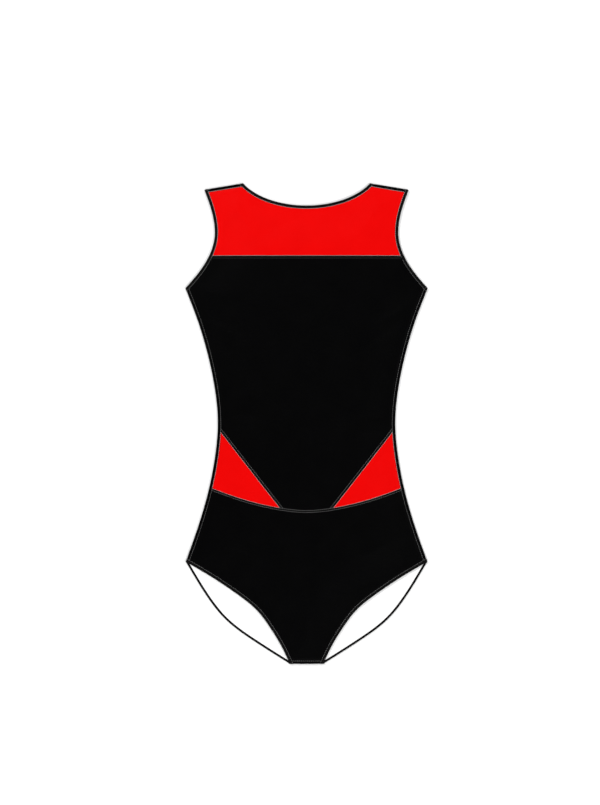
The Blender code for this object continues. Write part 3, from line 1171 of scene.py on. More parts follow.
def new_group(name: str, inputs: Sequence[str], outputs: Sequence[str]) -> tuple[Graph, bpy.types.Node]:
    """A new node group with an input Place, which is where on the surface it is read.

    Args:
        name: Its name.
        inputs: The names of its other inputs, which are numbers.
        outputs: The names of its outputs, which are numbers too.

    Returns:
        Its graph, and the node that its inputs come out of.
    """
    tree = bpy.data.node_groups.new(name, "ShaderNodeTree")
    tree.interface.new_socket("Place", in_out="INPUT", socket_type="NodeSocketVector")
    for way, labels in (("INPUT", inputs), ("OUTPUT", outputs)):
        for label in labels:
            tree.interface.new_socket(label, in_out=way, socket_type="NodeSocketFloat")
    graph = Graph(tree)
    return graph, graph.add("NodeGroupInput")


# In a knitted stitch: how steeply its yarn leans, its share of the relief beside the column's, and how narrow the
# valleys are, which take painted shade
YARN_LEAN = 1.5
YARN_SHARE = 0.45
VALLEY_POWER = 2.0

# In the dye: the share of the differences from yarn to yarn beside the clouds, and the detail of each
DYE_YARN_SHARE = 0.4
DYE_DETAIL = {"Cloud": 3.0, "Yarn": 1.0}


def knit_group() -> bpy.types.NodeTree:
    """The relief of plain knit: columns of V-shaped stitches, which run along y of the place given.

    Returns:
        A group with inputs Place, Wale (the width of a column) and Course (the length of a stitch), and outputs Height
        and Valley (the gaps between yarns, where the knit finish paints shade).
    """
    graph, given = new_group("knit_relief", ["Wale", "Course"], ["Height", "Valley"])
    split = graph.add("ShaderNodeSeparateXYZ", {0: given.outputs["Place"]})
    across = graph.math("DIVIDE", split.outputs["X"], given.outputs["Wale"])
    along = graph.math("DIVIDE", split.outputs["Y"], given.outputs["Course"])
    off_middle = graph.math("ABSOLUTE", graph.math("SUBTRACT", graph.math("FRACT", across), 0.5))
    column = graph.math("COSINE", graph.math("MULTIPLY", off_middle, math.pi))
    leaning = graph.math("FRACT", graph.math("MULTIPLY_ADD", off_middle, YARN_LEAN, along))
    yarn = graph.math("SINE", graph.math("MULTIPLY", leaning, math.pi))
    height = graph.math("MULTIPLY_ADD", yarn, YARN_SHARE, graph.math("MULTIPLY", column, 1.0 - YARN_SHARE))
    valley = graph.math("POWER", graph.math("SUBTRACT", 1.0, height), VALLEY_POWER)
    graph.add("NodeGroupOutput", {"Height": height, "Valley": valley})
    return graph.tree


def ply_group() -> bpy.types.NodeTree:
    """The relief of threads that lie side by side, or of a thread's own twist.

    Returns:
        A group with inputs Place, Pitch (from thread to thread along y) and Lean, and an output Height.
    """
    graph, given = new_group("ply_relief", ["Pitch", "Lean"], ["Height"])
    split = graph.add("ShaderNodeSeparateXYZ", {0: given.outputs["Place"]})
    leaning = graph.math("MULTIPLY_ADD", split.outputs["X"], given.outputs["Lean"], split.outputs["Y"])
    turn = graph.math("MULTIPLY", graph.math("DIVIDE", leaning, given.outputs["Pitch"]), 2 * math.pi)
    height = graph.math("MULTIPLY_ADD", graph.math("SINE", turn), 0.5, 0.5)
    graph.add("NodeGroupOutput", {"Height": height})
    return graph.tree


def dye_group() -> bpy.types.NodeTree:
    """How deep the dye is: soft clouds, and differences from yarn to yarn.

    Returns:
        A group with inputs Place, Cloud and Yarn (sizes in metres), and an output Depth from 0 to 1.
    """
    graph, given = new_group("dye_depth", ["Cloud", "Yarn"], ["Depth"])
    noise = {}
    for size, detail in DYE_DETAIL.items():
        scale = graph.math("DIVIDE", 1.0, given.outputs[size])
        inputs = {"Vector": given.outputs["Place"], "Scale": scale, "Detail": detail}
        noise[size] = graph.add("ShaderNodeTexNoise", inputs).outputs[0]
    clouds = graph.math("MULTIPLY", noise["Cloud"], 1.0 - DYE_YARN_SHARE)
    depth = graph.math("MULTIPLY_ADD", noise["Yarn"], DYE_YARN_SHARE, clouds)
    graph.add("NodeGroupOutput", {"Depth": depth})
    return graph.tree


@dataclass(frozen=True)
class Groups:
    """The node groups that the finishes share."""

    knit: bpy.types.NodeTree = field(default_factory=knit_group)
    ply: bpy.types.NodeTree = field(default_factory=ply_group)
    dye: bpy.types.NodeTree = field(default_factory=dye_group)


Colour = tuple[float, float, float, float]


@dataclass(frozen=True)
class Finish(ABC):
    """What every finish has: a name, two depths of its colour, which the dye and painted shade mix between, and how it
    takes the light.

    The relief's depth, and the sizes of the dye's clouds and yarns, are in metres.
    """

    name: str
    deep: Colour
    pale: Colour
    rough: tuple[float, float] = (0.5, 0.7)
    specular: float = 0.2
    sheen: float = 0.1
    sheen_rough: float = 0.5
    relief: float = 0.00012
    cloud: float = 0.030
    yarn: float = 0.0009

    @abstractmethod
    def surface(self, graph: Graph, groups: Groups, place: Value) -> tuple[Value, Value]:
        """The relief.

        Args:
            graph: The material's graph.
            groups: The shared node groups.
            place: The place on the object.

        Returns:
            Its height, and the painted shade that the dye's depth is multiplied by, which darkens the colour in the
            relief's valleys.
        """

    def material(self, groups: Groups) -> bpy.types.Material:
        """Makes the material, coloured and roughened by the dye, with the relief, and with painted shade that darkens
        the colour in the relief's valleys.

        Args:
            groups: The shared node groups.

        Returns:
            The material.
        """
        made = bpy.data.materials.new(self.name)
        made.use_nodes = True
        made.node_tree.nodes.clear()
        graph = Graph(made.node_tree)
        place = graph.add("ShaderNodeTexCoord").outputs["Object"]
        height, shade = self.surface(graph, groups, place)
        dye = graph.group(groups.dye, Place=place, Cloud=self.cloud, Yarn=self.yarn).outputs["Depth"]
        inputs = {
            # painted shade: the dye's factor times the relief's shade factor, so low places of the relief take the
            # deep colour
            "Base Color": graph.colour(graph.math("MULTIPLY", dye, shade), self.deep, self.pale),
            "Roughness": graph.between(dye, *self.rough),
            "Specular IOR Level": self.specular,
            "Sheen Weight": self.sheen,
            "Sheen Roughness": self.sheen_rough,
            "Normal": graph.add("ShaderNodeBump", {"Height": height, "Distance": self.relief}).outputs[0],
        }
        shader = graph.add("ShaderNodeBsdfPrincipled", inputs)
        graph.add("ShaderNodeOutputMaterial", {"Surface": shader.outputs[0]})
        return made


@dataclass(frozen=True)
class KnitFinish(Finish):
    """Stretch knit, with columns of stitches that run the length of the garment."""

    wale: float = 0.00060
    course: float = 0.00050

    def surface(self, graph: Graph, groups: Groups, place: Value) -> tuple[Value, Value]:
        """The stitches' height, and painted shade for the dye's depth, darkest in the valleys between yarns."""
        knit = graph.group(groups.knit, Place=place, Wale=self.wale, Course=self.course)
        # painted shade in the valleys between yarns
        return knit.outputs["Height"], graph.math("SUBTRACT", 1.0, knit.outputs["Valley"])


@dataclass(frozen=True)
class StripFinish(Finish):
    """Elastic binding, looper cover or thread, with a relief along its own length.

    The relief is knitted by that share, and otherwise plies side by side. Its valleys take the deep colour as painted
    shade, with valley_shade of the dye's factor left there.
    """

    rib: float = 0.00050
    pitch: float = 0.00070
    lean: float = 0.0
    knitted: float = 0.5
    # the dye's factor left in the valleys, as painted shade
    valley_shade: float = 0.4

    def surface(self, graph: Graph, groups: Groups, place: Value) -> tuple[Value, Value]:
        """The ribs and plies, which are read along the strip instead of at the place.

        Args:
            graph: The material's graph.
            groups: The shared node groups.
            place: The place on the object, which is not used.

        Returns:
            Their height, and the painted shade that the dye's depth is multiplied by, darker where the relief is low.
        """
        strip = graph.add("ShaderNodeUVMap", uv_map=STRIP_MAP).outputs[0]
        ply = graph.group(groups.ply, Place=strip, Pitch=self.pitch, Lean=self.lean).outputs["Height"]
        knit = graph.group(groups.knit, Place=strip, Wale=self.rib, Course=self.pitch)
        height = graph.math("MULTIPLY", knit.outputs["Height"], self.knitted)
        height = graph.math("MULTIPLY_ADD", ply, 1.0 - self.knitted, height)
        # painted shade: the lower the relief, the nearer the colour is to the deep one
        return height, graph.between(height, self.valley_shade, 1.0)


BLACK_KNIT = KnitFinish(
    name="black_knit",
    deep=(0.0002, 0.0002, 0.0003, 1.0),
    pale=(0.0014, 0.0014, 0.0015, 1.0),
    rough=(0.36, 0.46),
    specular=0.03,
    sheen=0.0,
    relief=0.00005,
)
RED_KNIT = KnitFinish(
    name="red_knit",
    deep=(0.640, 0.0002, 0.0002, 1.0),
    pale=(0.765, 0.0008, 0.0008, 1.0),
    rough=(0.36, 0.46),
    specular=0.04,
    sheen=0.0,
    relief=0.00006,
)
WHITE_REVERSE = KnitFinish(
    name="white_reverse",
    deep=(0.900, 0.900, 0.898, 1.0),
    pale=(0.970, 0.970, 0.968, 1.0),
    rough=(0.60, 0.80),
    sheen=0.05,
)
BLACK_ELASTIC = StripFinish(
    name="black_elastic",
    deep=(0.0006, 0.0006, 0.0005, 1.0),
    pale=(0.0036, 0.0035, 0.0032, 1.0),
    rough=(0.36, 0.50),
    specular=0.08,
    sheen=0.0,
    relief=0.00005,
)
BLACK_LOOPER = StripFinish(
    name="black_looper",
    deep=(0.0005, 0.0005, 0.0004, 1.0),
    pale=(0.0026, 0.0025, 0.0023, 1.0),
    rough=(0.40, 0.55),
    specular=0.05,
    sheen=0.0,
    relief=0.00012,
    rib=0.00060,
    pitch=0.00040,
    lean=0.5,
    knitted=0.2,
)
PALE_THREAD = StripFinish(
    name="pale_grey_thread",
    deep=(0.480, 0.480, 0.476, 1.0),
    pale=(0.800, 0.800, 0.790, 1.0),
    rough=(0.40, 0.55),
    specular=0.30,
    sheen=0.05,
    relief=0.00006,
    rib=0.00030,
    pitch=0.00045,
    lean=1.2,
    knitted=0.0,
)
DARK_THREAD = replace(
    PALE_THREAD,
    name="dark_grey_thread",
    deep=(0.170, 0.170, 0.169, 1.0),
    pale=(0.300, 0.300, 0.297, 1.0),
    specular=0.20,
)
BLACK_THREAD = replace(
    PALE_THREAD,
    name="black_thread",
    deep=(0.0010, 0.0010, 0.0010, 1.0),
    pale=(0.0060, 0.0060, 0.0058, 1.0),
    specular=0.08,
)


# The sub-assemblies


class Spanning(NamedTuple):
    """A front panel that spans the garment: its node, its slot, its loop and the sides along its edges."""

    node: str
    slot: str
    loop: Callable[[Cut], Sides]
    top: Sequence[str]
    outer: Sequence[str]
    bottom: str


SPANNING = (
    Spanning(
        node="front_yoke",
        slot="red_cloth",
        loop=Cut.yoke,
        top=["neck", "shoulder"],
        outer=["armhole"],
        bottom="yoke_seam",
    ),
    Spanning(
        node="front_body",
        slot="black_cloth",
        loop=Cut.body,
        top=["yoke_seam"],
        outer=["armhole", "side", "slant_seam"],
        bottom="hip_seam",
    ),
    Spanning(
        node="front_brief",
        slot="black_cloth",
        loop=Cut.brief,
        top=["hip_seam"],
        outer=["side", "leg"],
        bottom="crotch",
    ),
)


@dataclass(frozen=True)
class FrontPanels:
    """The front: yoke, body, brief and two side insets."""

    drape: Drape
    outer: dict[str, bpy.types.Material]
    reverse: bpy.types.Material

    def trimmed(self, sides: Sides) -> Sides:
        """A piece's loop as it shows, between bindings, flaps and seams."""
        return inset(sides, self.drape.make.lapped)

    def side_inset(self) -> np.ndarray:
        """The wearer's left side inset as it shows.

        Returns:
            Its points (x, y), in rows.
        """
        sides = self.trimmed(self.drape.cut.side_inset())
        rows = cells_of(sides["side"], self.drape.cut.spacing)
        bottom = self.spaced(sides["hip_seam"][::-1])
        point = np.repeat(sides["side"][:1], len(bottom), axis=0)
        inner = respaced(sides["slant_seam"][::-1], rows)
        return coons(point, respaced(sides["side"], rows), bottom, inner)

    def spaced(self, line: Line, cells: int | None = None) -> Line:
        """The line in even cells, of the usual size if no count is given."""
        return respaced(line, cells or cells_of(line, self.drape.cut.spacing))

    def spanning(self, kind: Spanning) -> np.ndarray:
        """A panel that spans the garment, as it shows.

        Args:
            kind: The panel.

        Returns:
            Its points (x, y), in rows.
        """
        sides = self.trimmed(kind.loop(self.drape.cut))
        top, outer = (joined(*[sides[name] for name in names]) for names in (kind.top, kind.outer))
        bottom = sides[kind.bottom][::-1]
        cells = max(cells_of(line, self.drape.cut.spacing) for line in (top, bottom))
        top, bottom, outer = self.spaced(top, cells), self.spaced(bottom, cells), self.spaced(outer)
        return whole(coons(top, outer, bottom, centre_line(outer, top[0, 1], bottom[0, 1])))

    def panel(self, name: str, points: np.ndarray, slot: str, size: dict[str, object]) -> None:
        """Makes a panel, laid at the front's height.

        Args:
            name: The name of the node that it stands for.
            points: Its points (x, y), in rows.
            slot: Its material slot.
            size: Its flat size.
        """
        mesh = welded(name, [raised(points, self.drape.front(points))])
        made = piece(f"{name}_cloth", mesh, [self.outer[slot], self.reverse], slot)
        walled(made, self.drape.make.cloth)
        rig.replaces(made, name)
        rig.sheet(made, held="laid", rests_on=[UNDERLAY], **size)

    def build(self) -> None:
        """Makes the panels."""
        for kind in SPANNING:
            size = flat_size(kind.loop(self.drape.cut))
            self.panel(kind.node, self.spanning(kind), kind.slot, size)
        left = self.side_inset()
        size = flat_size(self.drape.cut.side_inset(), widths=1)
        self.panel("side_inset_left", left, "red_cloth", size)
        self.panel("side_inset_right", mirrored(left), "red_cloth", size)


@dataclass(frozen=True)
class BackPanel:
    """The back: flat where it lies, and turned over onto the front at shoulders, sides and crotch.

    The draw-in is how much shorter a fold is at its outermost line, at each end, to stay in the bindings.
    """

    drape: Drape
    outer: bpy.types.Material
    reverse: bpy.types.Material
    spacing: float = 0.0030
    fold_steps: int = 10
    flap_steps: int = 4
    draw_in: float = 0.0012

    def spaced(self, layer: Layer, folded: float) -> Sides:
        """A layer's loop as the cloth reaches, with as many points on both layers, and along top and bottom.

        Args:
            layer: The layer.
            folded: How far in its folded sides lie.

        Returns:
            The sides, each in even cells.
        """
        sides = inset(self.drape.cut.layer(layer), self.drape.make.margins(folded))
        back = self.drape.cut.layer(Layer.BACK)
        cells = {name: cells_of(line, self.spacing) for name, line in back.items()}
        cells["crotch"] = cells["neck"] + cells["shoulder"]
        return {name: respaced(line, cells[name]) for name, line in sides.items()}

    def flat_part(self) -> np.ndarray:
        """The part that the garment lies on.

        Returns:
            Its points, in rows, facing down.
        """
        sides = self.spaced(Layer.BACK, self.drape.make.fold_inset)
        top = joined(sides["neck"], sides["shoulder"])
        outer = joined(sides["armhole"], sides["side"], sides["leg"])
        bottom = sides["crotch"][::-1]
        points = whole(coons(top, outer, bottom, centre_line(outer, top[0, 1], bottom[0, 1])))
        return raised(points, self.drape.back(points))[:, ::-1]

    def side_lines(self, name: str) -> list[list[Line]]:
        """The lines of a folded side at the fold below, at the fold above, and across the flap.

        Args:
            name: The side's name.

        Returns:
            A list of lines for each place where the garment has such a side.
        """
        make = self.drape.make
        lines = [self.spaced(Layer.BACK, make.fold_inset)[name]]
        for away in np.linspace(make.fold_inset, make.flap_width, self.flap_steps + 1):
            lines.append(self.spaced(Layer.FRONT, float(away))[name])
        if name == "crotch":
            return [[joined(line, on_hand(line, Hand.RIGHT)) for line in lines]]
        return [[on_hand(line, hand) for line in lines] for hand in Hand]

    def fold(self, lines: list[Line]) -> np.ndarray:
        """The cloth that turns over along one folded side.

        Args:
            lines: The side's lines, as side_lines gives them.

        Returns:
            The points, from the part below round the fold to the flap's edge.
        """
        below, above, *flap = lines
        low, high = self.drape.back(below), self.drape.front(above, flap=True)
        radius = (high - low) / 2
        rows = []
        for angle in np.linspace(0.0, math.pi, self.fold_steps + 1):
            over = (1 - math.cos(angle)) / 2
            base = below * (1 - over) + above * over
            along = arc_lengths(base)
            shorter = self.draw_in * math.sin(angle)
            base = read_at(shorter + along * (1 - 2 * shorter / along[-1]), along, base)
            place = base - inward_normals(base) * (radius * math.sin(angle))[:, None]
            rows.append(raised(place, low + (high - low) * over))
        for line in flap:
            rows.append(raised(line, self.drape.front(line, flap=True)))
        return np.stack(rows)

    def build(self) -> None:
        """Makes the back."""
        patches = [self.flat_part()]
        for name in FOLDED:
            patches += [self.fold(lines) for lines in self.side_lines(name)]
        mesh = welded("back_panel", patches)
        made = piece(UNDERLAY, mesh, [self.outer, self.reverse], "black_cloth")
        walled(made, self.drape.make.cloth)
        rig.replaces(made, "back_panel")
        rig.sheet(made, held="laid", **flat_size(self.drape.cut.layer(Layer.BACK)))


class Frame(NamedTuple):
    """A run of places with a direction across and a direction out of the surface at each."""

    points: np.ndarray
    across: np.ndarray
    out: np.ndarray


@dataclass(frozen=True)
class Bindings:
    """The folded elastic round neck, armholes and legs.

    The section runs from the folded edge over the outer face of a lip to its end, and back on its inner
    face to the hollow of the fold, as (how far in, how far out from the middle). The lip inside the garment
    is that narrow where it would show in a leg hole.
    """

    drape: Drape
    elastic: bpy.types.Material
    spacing: float = 0.0015
    fold_steps: int = 10
    strip_width: float = 0.0102
    outer_face: tuple[tuple[float, float], ...] = (
        (0.00003, 0.00018),
        (0.00018, 0.00040),
        (0.00055, 0.00058),
        (0.00120, 0.00064),
        (0.00220, 0.00065),
        (0.00330, 0.00065),
        (0.00384, 0.00062),
        (0.00400, 0.00052),
        (0.00415, 0.00050),
        (0.00429, 0.00053),
        (0.00440, 0.00058),
        (0.00447, 0.00053),
        (0.00450, 0.00042),
    )
    inner_face: tuple[tuple[float, float], ...] = (
        (0.00444, 0.00031),
        (0.00260, 0.00030),
        (0.00110, 0.00030),
        (0.00070, 0.00020),
    )
    hollow: float = 0.00055
    narrow_lip: float = 0.68

    def section(self, narrow: bool) -> np.ndarray:
        """The section of the elastic.

        Args:
            narrow: Whether the lip inside the garment is narrow.

        Returns:
            Points (in, out) from the folded edge over the lip outside, through the hollow and back.
        """
        upper = np.array(self.outer_face + self.inner_face)
        lower = upper[::-1] * np.array([self.narrow_lip if narrow else 1.0, -1.0])
        return np.concatenate([[(0.0, 0.0)], upper, [(self.hollow, 0.0)], lower])

    def stretch(self, layer: Layer, side: str) -> tuple[Line, Line]:
        """The binding along one side of a layer.

        Args:
            layer: The layer.
            side: The side's name.

        Returns:
            Its outer and its inner line.
        """
        make = self.drape.make
        sides = self.drape.cut.layer(layer)
        edge = inset(sides, make.margins(make.fold_inset, 0.0))[side]
        inner = inset(sides, make.margins(make.fold_inset, make.binding_width))[side]
        cells = cells_of(self.drape.cut.layer(Layer.FRONT)[side], self.spacing)
        return respaced(edge, cells), respaced(inner, cells)

    def laid(self, layer: Layer, line: Line) -> np.ndarray:
        """A line at the height of the binding's middle.

        Args:
            layer: The layer that it lies on.
            line: Its points (x, y).

        Returns:
            Its points (x, y, z).
        """
        half = self.drape.make.cloth / 2
        if layer is Layer.FRONT:
            return raised(line, self.drape.front(line, flap=True) - half)
        return raised(line, self.drape.back(line) + half)

    def over(
        self, front: Sequence[np.ndarray], back: Sequence[np.ndarray], away: np.ndarray
    ) -> list[np.ndarray]:
        """The edge, the inner line and the outward direction as the binding turns over a fold.

        Args:
            front: The edge point and the inner point at the end of the front stretch.
            back: Those of the back stretch.
            away: The direction that the fold faces.

        Returns:
            Rows of the three, from front to back.
        """
        rows = []
        outwards = np.array([*away, 0.0])
        for angle in np.linspace(0.0, math.pi, self.fold_steps + 1)[1:-1]:
            over = (1 - math.cos(angle)) / 2
            out = np.array([0.0, 0.0, math.cos(angle)]) + outwards * math.sin(angle)
            row = []
            for one, other in zip(front, back):
                radius = (one[2] - other[2]) / 2
                row.append(one * (1 - over) + other * over + outwards * radius * math.sin(angle))
            rows.append(np.array([*row, out]))
        return rows

    def ring(self, side: str, hand: Hand | None) -> Frame:
        """The binding's run: along the front, over a fold, back along the back and over the other fold.

        Args:
            side: The side of the outline that it holds.
            hand: Which armhole or leg it is for, or None at the neck.

        Returns:
            The places at its edge, what leads from there to its inner line, and the outward directions.
        """
        outline = self.drape.cut.layer(Layer.FRONT)
        before = {"armhole": "shoulder", "leg": "side"}.get(side)
        after = {"neck": "shoulder", "armhole": "side", "leg": "crotch"}[side]
        last = -inward_normals(outline[after])[0]
        first = last * (-1, 1) if before is None else -inward_normals(outline[before])[-1]
        runs = []
        for layer, up in ((Layer.FRONT, 1.0), (Layer.BACK, -1.0)):
            lines = self.stretch(layer, side)
            if hand is None:
                lines = tuple(joined(on_hand(line, Hand.RIGHT), line) for line in lines)
            else:
                lines = tuple(on_hand(line, hand) for line in lines)
            out = np.tile([0.0, 0.0, up], (len(lines[0]), 1))
            runs.append(np.stack([*(self.laid(layer, line) for line in lines), out], axis=1))
        if hand is Hand.RIGHT:
            first, last = last * (-1, 1), first * (-1, 1)
        front, back = runs
        end = self.over(front[-1, :2], back[-1, :2], last)
        start = self.over(front[0, :2], back[0, :2], first)
        rows = np.concatenate([front, np.array(end), back[::-1], np.array(start)[::-1]])
        return Frame(rows[:, 0], rows[:, 1] - rows[:, 0], rows[:, 2])

    def band(self, name: str, run: Frame, narrow: bool) -> None:
        """Makes one binding, lofted along its run.

        Args:
            name: The name of the node that it stands for.
            run: Its run.
            narrow: Whether the lip inside is narrow on the back, where it shows in the leg hole.
        """
        share = self.section(False)[:, 0] / self.drape.make.binding_width
        slim = self.section(True)[:, 0] / self.drape.make.binding_width
        out = self.section(False)[:, 1]
        below = np.clip((1 - run.out[:, 2]) / 2, 0.0, 1.0) if narrow else np.zeros(len(run.out))
        across = share[None] * (1 - below[:, None]) + slim[None] * below[:, None]
        rings = run.points[:, None] + run.across[:, None] * across[..., None]
        rings = rings + run.out[:, None] * out[None, :, None]
        made = piece(f"{name}_elastic", lofted(name, rings, closed=True), [self.elastic], "black_binding")
        length = float(arc_lengths(np.concatenate([run.points, run.points[:1]]))[-1])
        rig.replaces(made, name)
        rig.sheet(made, flat=(self.strip_width, length), held="laid", rests_on=[UNDERLAY])

    def runs(self) -> dict[str, Frame]:
        """The runs of all five bindings.

        Returns:
            The runs by the names of their nodes.
        """
        found = {"neck_binding": self.ring("neck", None)}
        for side in ("armhole", "leg"):
            for hand in Hand:
                found[f"{side}_binding_{hand.name.lower()}"] = self.ring(side, hand)
        return found

    def build(self) -> None:
        """Makes the bindings."""
        for name, run in self.runs().items():
            self.band(name, run, name.startswith("leg"))


class Seam(NamedTuple):
    """A flat seam: its name, its line and half the width of its cover.

    The ends are the lines that it runs to, on the half with x >= 0, each with how far in from there a
    binding, a flap or another cover lies over it.
    """

    name: str
    line: Line
    half: float
    ends: tuple[tuple[Line, float], ...]


@dataclass(frozen=True)
class SeamCovers:
    """The looper thread that covers the flat seams of the front, as ribbed low domes.

    A cover is tucked that far under what lies over its ends, and gets low there, down to a share of its
    height. The needle thread pulls it in where it runs. Its edges sink a little into the cloth.
    """

    drape: Drape
    thread: bpy.types.Material
    spacing: float = 0.00014
    column_width: float = 0.0004
    dome: float = 0.00030
    dome_power: int = 4
    pull: float = 0.00007
    pull_reach: float = 0.00022
    rib_pitch: float = 0.00085
    rib_height: float = 0.00008
    lean: float = 0.9
    sink: float = 0.00010
    tuck: float = 0.0018
    low_share: float = 0.2
    low_until: float = 0.0003
    low_ease: float = 0.0007

    def seams(self) -> list[Seam]:
        """The seams, from edge to edge.

        Returns:
            The yoke seam, the hip seam and the two slanting seams.
        """
        cut, make = self.drape.cut, self.drape.make
        front, half = cut.layer(Layer.FRONT), make.cover_half
        hip = cut.hip_seam(0.0, float(cut.half_at(cut.side, np.array([cut.hip_seam_side_drop]))[0]))
        by_side = (front["side"], make.flap_width)
        across = {
            "yoke_seam": (cut.yoke_seam, (front["armhole"], make.binding_width)),
            "hip_seam": (hip, by_side),
        }
        found = []
        for name, (line, end) in across.items():
            line = joined(on_hand(line, Hand.RIGHT), line)
            found.append(Seam(name, line, half[name], (end,)))
        ends = (by_side, (hip, half["hip_seam"]))
        for hand in Hand:
            name = f"slant_seam_{hand.name.lower()}"
            found.append(Seam(name, on_hand(cut.slant_seam, hand), half["slant_seam"], ends))
        return found

    def kept(self, seam: Seam, line: Line, tuck: float) -> Line:
        """The part of a line along a seam that shows.

        Args:
            seam: The seam.
            line: The line.
            tuck: How much more of it is kept at each end.

        Returns:
            The part, finely spaced.
        """
        fine = respaced(line, COVER_CELLS)
        shows = np.ones(len(fine), bool)
        for end, distance in seam.ends:
            away, _ = nearest(self.drape.folded_points(fine), end)
            shows &= away >= distance - tuck
        return fine[shows]

    def run(self, seam: Seam) -> Frame:
        """The seam's run on top of the cloth.

        Args:
            seam: The seam.

        Returns:
            Its places, with the directions across and up.
        """
        line = evenly(self.kept(seam, seam.line, self.tuck), self.spacing)
        across = raised(inward_normals(line), np.zeros(len(line)))
        return Frame(raised(line, self.drape.front(line)), across, upwards(len(line)))

    def domed(self, across: np.ndarray, half: float) -> np.ndarray:
        """A cover's height at places across it, which is less where the needle thread pulls it in."""
        pulled = (np.abs(across) - half * self.drape.make.needle_share) / self.pull_reach
        return self.dome * (1 - (across / half) ** self.dome_power) - self.pull * np.exp(-(pulled**2))

    def cover(self, seam: Seam) -> None:
        """Makes one seam's cover.

        Args:
            seam: The seam.
        """
        run = self.run(seam)
        columns = 2 * round(seam.half / self.column_width) + 1
        across = np.linspace(-seam.half, seam.half, columns)
        along = arc_lengths(run.points)
        turn = 2 * math.pi * (along[:, None] + self.lean * np.abs(across)[None]) / self.rib_pitch
        top = self.domed(across, seam.half)[None] + self.rib_height * np.cos(turn)
        flat = run.points[:, None] + run.across[:, None] * across[None, :, None]
        for end, distance in seam.ends:
            away, _ = nearest(self.drape.folded_points(flat), end)
            free = eased(away, distance - self.low_until, self.low_ease)
            top = top * (self.low_share + (1 - self.low_share) * free)
        ground = self.drape.front(flat[..., :2])
        flat[..., 2] = ground + top
        under = flat[:, [-1, 0]]
        under[..., 2] = ground[:, [-1, 0]] - self.sink
        rings = np.concatenate([flat, under], axis=1)
        piece(f"{seam.name}_cover", lofted(seam.name, rings, closed=False), [self.thread])

    def build(self) -> None:
        """Makes the covers."""
        for seam in self.seams():
            self.cover(seam)


class Row(NamedTuple):
    """A row of stitches: its points, the outward directions there, and whether it runs back to its start."""

    path: np.ndarray
    out: np.ndarray
    closed: bool = False


